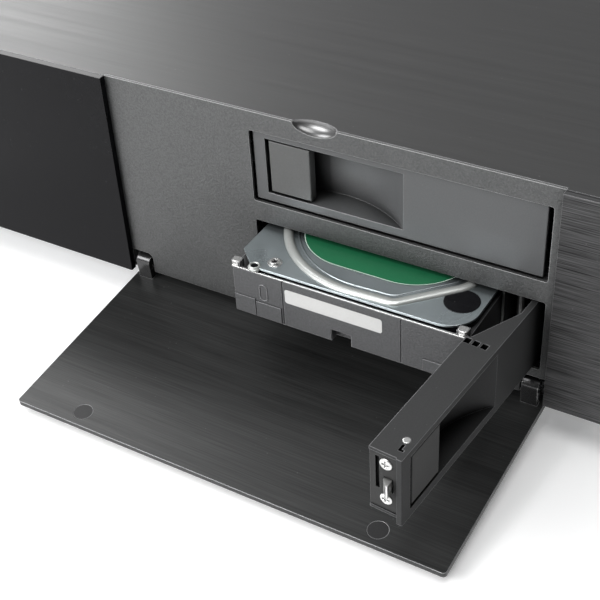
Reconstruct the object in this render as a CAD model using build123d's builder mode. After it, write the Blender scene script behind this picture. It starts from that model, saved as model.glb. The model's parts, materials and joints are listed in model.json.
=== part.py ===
from build123d import *

import os
from math import cos, radians, sin

# A hi-fi media player, 430 mm wide, with two hard drive bays behind a drop-down door.
# It stands with the door open, the lower bay's swing handle open and its drive pushed out.
# Sizes are in millimetres. X runs along the front, Y into the case and Z up.
# Places are measured from the door recess: its left edge, the steel panel's front, the case's underside.

os.makedirs("parts", exist_ok=True)

# ---------------------------------------------------------------- case
player_width = 430.0
case_depth = 300.0
steel = 1.2
cover_sheet = 1.5
cover_edge = 0.5
fascia_sheet = 3.0
end_panel_width = 28.0
recess_width = 197.5
seam = 0.3
panel_lift = 0.8
tray_flange = 12.0
panel_flange = 12.0
notch_width = 19.5
notch_depth = 4.4
notch_wall = 2.0
vent_width = 3.0
vent_pitch = 9.0
floor_vent_count = 11
floor_vent_length = 60.0
side_vent_count = 14
side_vent_length = 33.0
rear_vent_count = 15
rear_vent_length = 34.0
rear_vent_from_cage = 107.2
rear_vent_from_top = 30.0

foot_height = 16.0
foot_radius = 20.0
foot_pad_height = 1.5
foot_pad_margin = 2.5
foot_from_side = 50.0
foot_from_front = 45.0
foot_from_back = 45.0

case_screw_radius = 3.0
case_screw_shank = 1.5
case_screw_sink = 1.0
case_screw_length = 7.0
case_screw_up = 7.0
case_screw_from_end = 60.0

# ---------------------------------------------------------------- front door
door_sheet = 2.4
door_gap = 0.5
door_edge_gap = 0.5
door_corner = 1.5
door_droop = 4.5
door_axis_in = 5.0
door_axis_up = 3.0
hinge_arm_width = 6.8
hinge_arm_inset = 2.8
hinge_arm_reach = 6.8
hinge_arm_rise = 5.8
hinge_arm_sheet = 2.8
hinge_arm_bend = 3.2
hinge_foot = 1.0
hinge_hub = 2.8
hinge_pin_radius = 1.5
hinge_ear = 1.2
hinge_ear_depth = 7.0
hinge_ear_height = 5.0
hinge_bracket_foot = 11.0
hinge_cutout_margin = 1.4
hinge_cutout_rise = 7.5
hinge_cutout_corner = 3.0
running_gap = 0.05
side_play = 0.3
magnet_radius = 4.0
magnet_thickness = 1.0
magnet_from_edge = 6.9
magnet_from_side = 30.5

# ---------------------------------------------------------------- hard drive, the standard 3.5 inch size
drive_width = 101.6
drive_length = 147.0
drive_height = 26.1
drive_corner = 3.0
drive_out = 26.3
drive_in = 18.0
drive_wall = 4.0
drive_floor = 5.0
casting_height = 20.9
pad_height = 24.9
pad_width = 4.0
pad_depth = 3.4
lid_height = 24.7
lid_inset = 0.4
lid_chamfer = 8.8
lid_corner = 12.0
spindle_back = 48.3
rim_radius = 47.4
rim_width = 4.5
rim_cut_x = (66.5, 90.4)
rim_cut_y = (3.6, 27.6)
rim_right = 94.0
rim_back = 112.0
mount_hole_radius = 1.5
mount_hole_depth = 3.5
mount_hole_up = 6.35
mount_hole_from_back = (28.5, 70.1, 130.1)
drive_board_sheet = 1.6
drive_board_length = 96.0
drive_recess = 2.2
drive_recess_side = 9.0
drive_recess_end = 6.0
label_sheet = 0.15
label_radius = 36.0
label_front = 15.1
seal_radius = 7.0
seal_x = 92.6
seal_y = 15.9
end_label_left = 24.6
end_label_up = 12.1
end_label_width = 42.8
end_label_height = 6.6
end_notch_left = 45.0
end_notch_width = 8.6
end_notch_height = 5.6
end_notch_depth = 4.0
plug_recess_left = 22.5
plug_recess_width = 41.0
plug_recess_up = 3.5
plug_recess_height = 5.0
plug_recess_depth = 5.0
socket_margin = 1.5
socket_gap = 0.5
tongue_sheet = 1.2
tongue_clearance = 1.0
board_sheet = 1.6

# ---------------------------------------------------------------- drive bays
bay_low_margin = 14.5
bay_divider = 9.4
bay_top_margin = 8.5
bay_right_margin = 3.5
bay_corner = 1.0
drive_gap_left = 4.2
drive_gap_right = 19.2
drive_gap_below = 6.1
drive_gap_above = 0.6
cage_back_gap = 7.0
cage_left_gap = 0.6
cage_right_gap = 4.8
deck_gap = 0.3
air_slot_side = 24.0
air_slot_length = 20.0
air_slots_across = 3

# ---------------------------------------------------------------- swing handle
face_gap_left = 0.8
face_gap_right = 2.4
face_gap_above = 0.4
face_rise = 0.4
face_gap_below = 1.0
face_recess = 1.4
face_sheet = 2.4
face_edge = 0.5
pin_from_end = 12.2
pin_in = 14.3
pin_radius = 1.5
knuckle = 3.2
open_angle = 85.5
box_length = 66.1
box_thickness = 13.0
box_rise = 3.3
box_end_gap = 0.6
pocket_inset = 5.5
pocket_end_wall = 0.6
pocket_floor_length = 22.7
pocket_bend_back = 14.3
pocket_bend_depth = 8.4
pocket_rise = 4.6
pocket_top_wall = 2.7
pocket_depth = 11.2
rib_pockets = 3
rib_pocket_depth = 2.8
rib_wall = 0.8
rib_pocket_width = 2.4
rib_sheet = 1.0
web_depth = 9.0
web_end = 22.5
web_sheet = 1.5
arm_sheet = 3.2
arm_left = 3.2
arm_right = 4.0
crank_radius = 31.9
crank_angle = 137.0
crank_sheet = 1.6
crank_width = 5.0
peg_radius = 1.5
peg_height = 2.5

cap_recess = 1.6
cap_sheet = 1.2
cap_wall = 1.4
cap_slot_width = 1.6
cap_slot_height = 15.0
cap_slot_rise = 14.0
cap_slot_back = 2.2
cap_screw_radius = 2.5
cap_screw_in = 6.6
cap_screw_low = 10.2
cap_screw_high = 26.8
screw_head = 0.6
screw_shank = 1.2
screw_reach = 3.0
guide_pin_radius = 1.5
guide_pin_from_tip = 9.2
guide_pin_in = 3.6
guide_pin_stand = 0.3
guide_pin_length = 2.4
spring_slot_from_tip = 3.8
spring_slot_length = 3.4
spring_slot_in = 3.9
spring_slot_width = 1.0
spring_slot_depth = 1.5

# ---------------------------------------------------------------- latch in the handle
latch_inset = 1.5
latch_width = 18.3
latch_sink = 0.3
latch_margin = 0.9
latch_edge = 0.5
bolt_in = 4.2
bolt_width = 3.0
bolt_height = 6.0
bolt_rise = 14.3
bolt_throw = 2.4
bolt_nose = 0.6
bolt_length = 22.6
strike_play = 1.5

# ---------------------------------------------------------------- ejector
ejector_inset = 10.8
ejector_side = 5.4
ejector_sheet = 1.2
ejector_rise = 2.6
ejector_nose = 5.6
ejector_runner_gap = 9.5
ejector_runner_front = 5.7
ejector_tab_gap = 0.3
ejector_tab_shift = 4.5
ejector_tab_width = 17.0
ejector_tab_height = 14.0
peg_play = 0.9
peg_lead = 0.5
peg_side_play = 0.6
glide_gap = 0.1

# ---------------------------------------------------------------- drive guides
guide_front = 20.0
guide_back_gap = 12.0
guide_left_gap = 0.3
guide_left_height = 24.0
guide_ledge = 5.8
guide_wall_gap = 0.4
guide_wall = 1.0
guide_wall_front = 5.0
guide_wall_low = 4.2
guide_wall_high = 28.5
guide_ledge_front = 42.0
guide_ledge_width = 6.8
guide_foot = 10.0

# ---------------------------------------------------------------- boards inside the case
board_rise = 7.0
board_back_gap = 8.0
main_board_from_side = 14.5
main_board_from_cage = 17.2
main_board_front = 110.0
supply_from_side = 11.5
supply_width = 152.0
supply_from_cage = 14.0
standoff_radius = 3.0
standoff_inset = 8.0
sink_from_side = 94.0
sink_width = 56.0
sink_from_front = 60.0
sink_length = 44.0
sink_base = 3.0
sink_height = 24.0
sink_fin = 1.6
sink_fins = 9
core_from_side = 16.0
core_width = 44.0
core_from_front = 18.0
core_length = 34.0
core_height = 36.0
coil_inset = 7.0
coil_overhang = 6.0
large_capacitors = {"from_side": (80.0, 106.0), "from_front": 20.0, "radius": 11.0, "height": 32.0}
small_capacitors = {"from_side": (80.0, 98.0), "from_front": 51.0, "radius": 6.5, "height": 20.0}

# ---------------------------------------------------------------- display and power button
front_board_in = 9.0
front_board_from_side = 5.5
front_board_from_recess = 16.0
front_board_low = 18.0
front_board_from_top = 16.0
display_from_side = 38.5
display_width = 96.0
display_low = 36.0
display_height = 25.0
display_margin = 1.0
power_from_low = 60.0
power_radius = 5.0
power_edge = 0.5
power_proud = 0.8
power_tip_gap = 1.8
power_collar = 1.5
power_plunger = 2.5
power_play = 0.25

# ---------------------------------------------------------------- back of the case
cutout_gap = 0.3
inlet_from_side = 37.5
inlet_up = 34.0
inlet_width = 24.0
inlet_height = 16.5
inlet_wall = 1.8
inlet_depth = 26.0
inlet_cavity = 17.0
inlet_flange_width = 48.0
inlet_flange_height = 24.0
inlet_flange = 2.5
inlet_pin_length = 10.0
inlet_pin_pitch = 7.0
inlet_pin_width = 2.0
inlet_pin_height = 4.0
inlet_pin_rise = 3.0
rocker_from_side = 85.5
rocker_up = 34.0
rocker_width = 16.0
rocker_half = 4.8
rocker_tilt = 10.0
rocker_play = 0.8
rocker_frame_wall = 1.2
rocker_frame_depth = 14.0
rocker_bezel = 2.0
rocker_bezel_margin = 2.4
rocker_pivot_radius = 1.2
rocker_pivot_in = 1.5
rocker_stub = 0.9
rocker_proud = 3.2
rocker_neck = 4.2

hdmi_from_cage = (119.2, 93.2)
hdmi_width = 15.0
hdmi_height = 6.2
hdmi_depth = 12.0
network_from_cage = 67.2
network_width = 16.0
network_height = 13.5
network_depth = 21.0
usb_from_cage = 39.2
usb_width = 14.4
usb_height = 16.0
usb_depth = 17.5
socket_wall = 0.8
socket_back = 2.0
socket_proud = 0.6
phono_from_side = 54.5
phono_pitch = 18.0
phonos = 3
phono_up = 8.0
phono_radius = 4.15
phono_bore = 1.6
phono_length = 9.0
phono_block = 12.0
phono_depth = 14.0

# ---------------------------------------------------------------- places worked out from the sizes
bay_width = drive_gap_left + drive_width + drive_gap_right
bay_height = drive_gap_below + drive_height + drive_gap_above
bay_pitch = bay_height + bay_divider
bay_left = recess_width - bay_right_margin - bay_width
bays = {"lower": bay_low_margin, "upper": bay_low_margin + bay_pitch}
front_height = bays["upper"] + bay_height + bay_top_margin
cage_left = bay_left - cage_left_gap
cage_right = bay_left + bay_width + cage_right_gap
cage_depth = drive_in + drive_length + cage_back_gap
deck_top = -deck_gap
deck_under = deck_top - steel
roof_under = bay_height + deck_gap
roof_top = roof_under + steel

recess_x = player_width / 2 - end_panel_width - recess_width
left_end = -recess_x - player_width / 2
right_end = left_end + player_width
window_left = left_end + end_panel_width
cover_under = front_height - cover_sheet
inner_left = left_end + cover_sheet + seam
inner_right = right_end - cover_sheet - seam
back_face = case_depth - steel
case_screw_y = (case_screw_from_end, case_depth - case_screw_from_end)

drive_left = bay_left + drive_gap_left
face_left = bay_left + face_gap_left
face_right = bay_left + bay_width - face_gap_right
face_height = bay_height - face_rise - face_gap_above
pin_x = face_right - pin_from_end

swing = radians(open_angle)
bolt_front = face_recess + bolt_in
bolt_reach = pin_x - face_left + bolt_throw
front_reach = bolt_reach * sin(swing) + (pin_in - bolt_front) * cos(swing) - pin_in
panel_y = (front_reach - case_depth - phono_length) / 2

front = Plane(origin=(recess_x, panel_y, foot_height), x_dir=(1, 0, 0), z_dir=(0, -1, 0))
level = Plane(origin=(recess_x, panel_y, foot_height), x_dir=(1, 0, 0), z_dir=(0, 0, 1))
side = Plane(origin=(recess_x, panel_y, foot_height), x_dir=(0, 1, 0), z_dir=(1, 0, 0))


def around(x, half_width):
    """The span from half_width below x to half_width above it."""
    return (x - half_width, x + half_width)


def span(x, y, mode=Mode.ADD):
    """A rectangle from x[0] to x[1] and y[0] to y[1], in the sketch being drawn."""
    with Locations(((x[0] + x[1]) / 2, (y[0] + y[1]) / 2)):
        return Rectangle(x[1] - x[0], y[1] - y[0], mode=mode)


def block(plane, x, y, z, mode=Mode.ADD):
    """A plain block on a plane, x by y, standing from z[0] to z[1], in the part being built."""
    with BuildSketch(plane.offset(z[0])) as outline:
        span(x, y)
    extrude(outline.sketch, amount=z[1] - z[0], mode=mode)


def bar(plane, x, y, radius, z, mode=Mode.ADD):
    """A round bar on a plane at (x, y), from z[0] to z[1], in the part being built."""
    with BuildSketch(plane.offset(z[0])) as outline:
        with Locations((x, y)):
            Circle(radius)
    extrude(outline.sketch, amount=z[1] - z[0], mode=mode)


def finger_scoop():
    """Cuts the scoop for a fingertip into the top front edge, in the part being built."""
    with BuildSketch(front) as half:
        with Locations((recess_width / 2, front_height)):
            Ellipse(notch_width / 2, notch_depth)
        span((0, recess_width), (front_height, front_height + notch_width), mode=Mode.SUBTRACT)
    edge = Axis(front.from_local_coords((recess_width / 2, front_height, 0)), (1, 0, 0))
    revolve(half.sketch, axis=edge, mode=Mode.SUBTRACT)


def save(piece, name):
    """Labels a finished piece and writes it under its name."""
    piece.part.label = name
    export_step(piece.part, f"parts/{name}.step")


# ================================================================ sheet metal case
hinge_cutout_width = hinge_arm_inset + hinge_arm_width + hinge_cutout_margin
hinge_cutout_height = door_axis_up + hinge_cutout_rise
hinge_cutouts = ((0, hinge_cutout_width), (recess_width - hinge_cutout_width, recess_width))
main_board_left = left_end + main_board_from_side
main_board_right = cage_left - steel - main_board_from_cage
board_back = case_depth - board_back_gap
hinge_bracket_back = door_axis_in + hinge_ear_depth
hinge_slot_back = hinge_bracket_back + hinge_ear + seam

with BuildPart() as base_tray:
    block(level, (inner_left, inner_right), (steel, back_face), (0, steel))
    for x0 in (inner_left, inner_right - steel):
        block(level, (x0, x0 + steel), (steel, back_face), (0, tray_flange))
    for cutout in hinge_cutouts:
        block(level, cutout, (0, hinge_slot_back), (0, steel), Mode.SUBTRACT)
    with BuildSketch(level) as floor_vents:
        with Locations(((main_board_left + main_board_right) / 2, (main_board_front + board_back) / 2)):
            with GridLocations(vent_pitch, 0, floor_vent_count, 1):
                SlotOverall(floor_vent_length, vent_width, rotation=90)
    extrude(floor_vents.sketch, amount=steel, mode=Mode.SUBTRACT)
    for y in case_screw_y:
        bar(side, y, case_screw_up, case_screw_shank, (inner_left, inner_left + steel), Mode.SUBTRACT)
        bar(side, y, case_screw_up, case_screw_shank, (inner_right - steel, inner_right), Mode.SUBTRACT)
save(base_tray, "base_tray")

with BuildPart() as top_cover:
    with BuildSketch(level.offset(cover_under)) as lid_plan:
        span((left_end, right_end), (0, case_depth))
        span((0, recess_width), (0, steel), mode=Mode.SUBTRACT)
    extrude(lid_plan.sketch, amount=cover_sheet)
    for x0 in (left_end, right_end - cover_sheet):
        block(level, (x0, x0 + cover_sheet), (0, case_depth), (0, cover_under))
    long_edges = top_cover.edges().filter_by(Axis.Y).group_by(Axis.Z)[-1]
    fillet(long_edges.group_by(Axis.X)[0] + long_edges.group_by(Axis.X)[-1], radius=cover_edge)
    finger_scoop()
    for x0 in (left_end, right_end - cover_sheet):
        with BuildSketch(side.offset(x0)) as side_vents:
            with Locations((case_depth / 2, front_height / 2)):
                with GridLocations(vent_pitch, 0, side_vent_count, 1):
                    SlotOverall(side_vent_length, vent_width, rotation=90)
        extrude(side_vents.sketch, amount=cover_sheet, mode=Mode.SUBTRACT)
    for y in case_screw_y:
        bar(side, y, case_screw_up, case_screw_shank, (left_end, left_end + cover_sheet), Mode.SUBTRACT)
        bar(side, y, case_screw_up, case_screw_radius, (left_end, left_end + case_screw_sink), Mode.SUBTRACT)
        bar(side, y, case_screw_up, case_screw_shank, (right_end - cover_sheet, right_end), Mode.SUBTRACT)
        bar(side, y, case_screw_up, case_screw_radius, (right_end - case_screw_sink, right_end), Mode.SUBTRACT)
save(top_cover, "top_cover")

with BuildPart() as cover_screws:
    for y in case_screw_y:
        for outer, inward in ((left_end, 1), (right_end, -1)):
            head = sorted((outer, outer + inward * case_screw_sink))
            shank = sorted((outer + inward * case_screw_sink, outer + inward * case_screw_length))
            bar(side, y, case_screw_up, case_screw_radius, head)
            bar(side, y, case_screw_up, case_screw_shank, shank)
save(cover_screws, "cover_screws")

power_x = left_end + end_panel_width / 2
display_left = window_left + display_from_side

with BuildPart() as front_panel:
    block(level, (inner_left, inner_right), (0, steel), (panel_lift, cover_under))
    block(level, (0, recess_width), (0, steel), (cover_under, front_height))
    block(level, (inner_left, inner_right), (steel, panel_flange), (cover_under - steel, cover_under))
    scoop_x = around(recess_width / 2, notch_width / 2 + notch_wall)
    scoop_low = front_height - notch_depth - notch_wall
    block(level, scoop_x, (steel, notch_depth + notch_wall), (scoop_low, cover_under - steel))
    finger_scoop()
    for up in bays.values():
        with BuildSketch(front) as opening:
            with Locations((bay_left + bay_width / 2, up + bay_height / 2)):
                RectangleRounded(bay_width, bay_height, bay_corner)
        extrude(opening.sketch, amount=-steel, mode=Mode.SUBTRACT)
    for cutout, inner_x in zip(hinge_cutouts, (hinge_cutouts[0][1], hinge_cutouts[1][0])):
        with BuildSketch(front) as arm_cutout:
            span(cutout, (0, hinge_cutout_height))
            fillet(
                arm_cutout.vertices().sort_by_distance((inner_x, hinge_cutout_height, 0))[0],
                radius=hinge_cutout_corner,
            )
        extrude(arm_cutout.sketch, amount=-steel, mode=Mode.SUBTRACT)
    with BuildSketch(front) as display_hole:
        span(
            (display_left - display_margin, display_left + display_width + display_margin),
            (display_low - display_margin, display_low + display_height + display_margin),
        )
        with Locations((power_x, power_from_low)):
            Circle(power_radius + power_play)
    extrude(display_hole.sketch, amount=-steel, mode=Mode.SUBTRACT)
save(front_panel, "front_panel")

with BuildPart() as display_window:
    block(level, (window_left, 0), (-fascia_sheet, 0), (0, front_height))
save(display_window, "display_window")

with BuildPart() as left_end_panel:
    block(level, (left_end, window_left - seam), (-fascia_sheet, 0), (0, front_height))
    bar(front, power_x, power_from_low, power_radius + power_play, (0, fascia_sheet), Mode.SUBTRACT)
save(left_end_panel, "left_end_panel")

with BuildPart() as right_end_panel:
    block(level, (recess_width, right_end), (-fascia_sheet, 0), (0, front_height))
save(right_end_panel, "right_end_panel")

foot_places = [
    (x, y)
    for x in (left_end + foot_from_side, right_end - foot_from_side)
    for y in (foot_from_front, case_depth - foot_from_back)
]

with BuildPart() as feet:
    for x, y in foot_places:
        bar(level, x, y, foot_radius, (foot_pad_height - foot_height, 0))
    rims = feet.edges().filter_by(GeomType.CIRCLE).group_by(Axis.Z)[0]
    chamfer(rims, length=foot_pad_height)
save(feet, "feet")

with BuildPart() as foot_pads:
    for x, y in foot_places:
        bar(level, x, y, foot_radius - foot_pad_margin, (-foot_height, foot_pad_height - foot_height))
save(foot_pads, "foot_pads")

# ================================================================ drive cage
strike_back = bolt_front + bolt_width + strike_play

with BuildPart() as cage_left_wall:
    block(level, (cage_left - steel, cage_left), (steel, cage_depth), (steel, bays["upper"] + roof_top))
    for up in bays.values():
        strike = (up + bolt_rise - strike_play, up + bolt_rise + bolt_height + strike_play)
        block(level, (cage_left - steel, cage_left), (bolt_front - strike_play, strike_back), strike, Mode.SUBTRACT)
save(cage_left_wall, "cage_left_wall")

with BuildPart() as cage_right_wall:
    block(level, (cage_right, cage_right + steel), (steel, cage_depth), (steel, bays["upper"] + roof_top))
save(cage_right_wall, "cage_right_wall")

with BuildPart() as cage_floor:
    up = bays["lower"]
    block(level, (cage_left, cage_right), (steel, cage_depth), (up + deck_under, up + deck_top))
    bar(level, pin_x, pin_in, pin_radius, (up + deck_under, up + deck_top), Mode.SUBTRACT)
save(cage_floor, "cage_floor")

with BuildPart() as cage_shelf:
    shelf_low = bays["lower"] + roof_under
    shelf_high = bays["upper"] + deck_top
    block(level, (cage_left, cage_right), (steel, cage_depth), (shelf_low, shelf_high))
    hollow = (shelf_low + steel, shelf_high - steel)
    block(level, (cage_left + steel, cage_right - steel), (steel, cage_depth), hollow, Mode.SUBTRACT)
    bar(level, pin_x, pin_in, pin_radius, (shelf_low, shelf_high), Mode.SUBTRACT)
save(cage_shelf, "cage_shelf")

with BuildPart() as cage_roof:
    up = bays["upper"]
    block(level, (cage_left, cage_right), (steel, cage_depth), (up + roof_under, up + roof_top))
    bar(level, pin_x, pin_in, pin_radius, (up + roof_under, up + roof_top), Mode.SUBTRACT)
save(cage_roof, "cage_roof")

with BuildPart() as handle_pins:
    for up in bays.values():
        bar(level, pin_x, pin_in, pin_radius, (up + deck_under, up + roof_top))
save(handle_pins, "handle_pins")

guide_wall_x = drive_left + drive_width + guide_wall_gap
guide_back = cage_depth - guide_back_gap
ledge_top = drive_gap_below - glide_gap

with BuildPart() as drive_guides:
    for up in bays.values():
        inside = drive_left - guide_left_gap
        length = (guide_front, guide_back)
        block(level, (cage_left, inside), length, (up + deck_top, up + deck_top + guide_left_height))
        block(level, (inside, drive_left + guide_ledge), length, (up + deck_top, up + ledge_top))
        wall = (guide_wall_x, guide_wall_x + guide_wall)
        block(level, wall, (guide_wall_front, guide_back), (up + guide_wall_low, up + guide_wall_high))
        length = (guide_ledge_front, guide_back)
        block(level, wall, length, (up + deck_top, up + guide_wall_low))
        block(level, (wall[1], wall[1] + guide_foot), length, (up + deck_top, up + deck_top + guide_wall))
        block(level, (wall[0] - guide_ledge_width, wall[0]), length, (up + deck_top, up + ledge_top))
save(drive_guides, "drive_guides")

with BuildPart() as backplane_board:
    low = bays["lower"] - steel
    high = bays["upper"] + bay_height
    block(level, (cage_left, cage_right), (cage_depth, cage_depth + board_sheet), (low, high))
    with BuildSketch(front.offset(-cage_depth)) as air_slots:
        with Locations((cage_right - air_slot_side, (low + high) / 2)):
            with GridLocations(vent_pitch, bay_pitch, air_slots_across, len(bays)):
                SlotOverall(air_slot_length, vent_width, rotation=90)
    extrude(air_slots.sketch, amount=-board_sheet, mode=Mode.SUBTRACT)
save(backplane_board, "backplane_board")

drive_back = drive_in + drive_length
plug_left = drive_left + plug_recess_left

with BuildPart() as drive_sockets:
    for up in bays.values():
        middle = up + drive_gap_below + plug_recess_up + plug_recess_height / 2
        body = (middle - plug_recess_height / 2, middle + plug_recess_height / 2)
        width = (plug_left, plug_left + plug_recess_width)
        block(level, width, (drive_back + socket_gap, cage_depth), body)
        width = (plug_left + socket_margin, plug_left + plug_recess_width - socket_margin)
        length = (drive_back - plug_recess_depth + tongue_clearance, drive_back + socket_gap)
        block(level, width, length, (middle - tongue_sheet / 2, middle + tongue_sheet / 2))
save(drive_sockets, "drive_sockets")

# ================================================================ drop-down door
droop = radians(door_droop)
axis_point = level.from_local_coords((0, door_axis_in, door_axis_up))
door = Plane(origin=axis_point, x_dir=(1, 0, 0), z_dir=(0, sin(droop), -cos(droop)))
door_side = Plane(origin=axis_point, x_dir=(0, -cos(droop), -sin(droop)), z_dir=(1, 0, 0))
door_low = door_edge_gap - door_axis_up
door_high = front_height - door_edge_gap - door_axis_up
door_inner = door_axis_in + door_gap
arm_places = (hinge_arm_inset, recess_width - hinge_arm_inset - hinge_arm_width)
arm_foot = (hinge_arm_reach - hinge_arm_sheet, hinge_arm_reach)
magnet_places = [(x, door_high - magnet_from_edge) for x in (magnet_from_side, recess_width - magnet_from_side)]

with BuildPart() as door_panel:
    with BuildSketch(door.offset(door_inner)) as door_plan:
        with Locations((recess_width / 2, (door_low + door_high) / 2)):
            RectangleRounded(recess_width - 2 * door_edge_gap, door_high - door_low, door_corner)
    extrude(door_plan.sketch, amount=door_sheet)
    for x in arm_places:
        block(door, (x, x + hinge_arm_width), arm_foot, (door_inner, door_inner + hinge_foot), Mode.SUBTRACT)
    for x, y in magnet_places:
        bar(door, x, y, magnet_radius, (door_inner, door_inner + magnet_thickness), Mode.SUBTRACT)
save(door_panel, "door_panel")

with BuildPart() as door_magnets:
    for x, y in magnet_places:
        bar(door, x, y, magnet_radius, (door_inner, door_inner + magnet_thickness))
save(door_magnets, "door_magnets")

with BuildPart() as door_hinge_arms:
    for x in arm_places:
        with BuildSketch(door_side.offset(x)) as goose_neck:
            Circle(hinge_hub)
            span((-hinge_hub, hinge_hub), (-hinge_arm_rise, 0))
            span((-hinge_hub, hinge_arm_reach), (-hinge_arm_rise, hinge_arm_sheet - hinge_arm_rise))
            span(arm_foot, (-hinge_arm_rise, door_inner + hinge_foot))
            front_bend = goose_neck.vertices().sort_by_distance((hinge_arm_reach, -hinge_arm_rise, 0))[0]
            fillet(front_bend, radius=hinge_arm_bend)
            Circle(hinge_pin_radius + running_gap, mode=Mode.SUBTRACT)
        extrude(goose_neck.sketch, amount=hinge_arm_width)
save(door_hinge_arms, "door_hinge_arms")

with BuildPart() as door_hinge_brackets:
    for x in arm_places:
        ears = (x - side_play - hinge_ear, x + hinge_arm_width + side_play)
        top = door_axis_up + hinge_ear_height
        for ear in ears:
            block(level, (ear, ear + hinge_ear), (steel + seam, hinge_bracket_back), (steel, top))
        across = (ears[0], ears[1] + hinge_ear)
        web = (hinge_bracket_back, hinge_bracket_back + hinge_ear)
        block(level, across, web, (steel, top))
        block(level, across, (web[1], web[1] + hinge_bracket_foot), (steel, steel + hinge_ear))
    bar(side, door_axis_in, door_axis_up, hinge_pin_radius, (0, recess_width), Mode.SUBTRACT)
save(door_hinge_brackets, "door_hinge_brackets")

with BuildPart() as door_hinge_pins:
    for x in arm_places:
        length = (x - side_play - hinge_ear, x + hinge_arm_width + side_play + hinge_ear)
        bar(side, door_axis_in, door_axis_up, hinge_pin_radius, length)
save(door_hinge_pins, "door_hinge_pins")

# ================================================================ swing handles, drives and ejectors
face_front = face_recess - pin_in
face_back = face_front + face_sheet
box_back = face_front + box_thickness
tip = face_left - pin_x
box_tip = tip + box_end_gap
box_end = tip + box_length
face_top = face_rise + face_height
cap_face = box_tip + cap_recess - cap_sheet
cap_back = box_tip + cap_recess
cap_span = (box_rise + cap_wall, face_top - cap_wall)
scoop_left = tip + pocket_inset
scoop_right = box_end - pocket_end_wall
scoop_floor_end = scoop_left + pocket_floor_length
scoop_z = (pocket_rise, face_top - pocket_top_wall)
latch_x = (scoop_left + latch_inset, scoop_left + latch_inset + latch_width)
bolt_y = (face_front + bolt_in, face_front + bolt_in + bolt_width)
bolt_z = (bolt_rise, bolt_rise + bolt_height)
screw_places = [(face_front + cap_screw_in, z) for z in (cap_screw_low, cap_screw_high)]
peg_place = (crank_radius * cos(radians(crank_angle)), crank_radius * sin(radians(crank_angle)))
peg_in = pin_in + peg_place[1]
slot_x = (pin_x - crank_radius, pin_x + peg_place[0])

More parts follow.
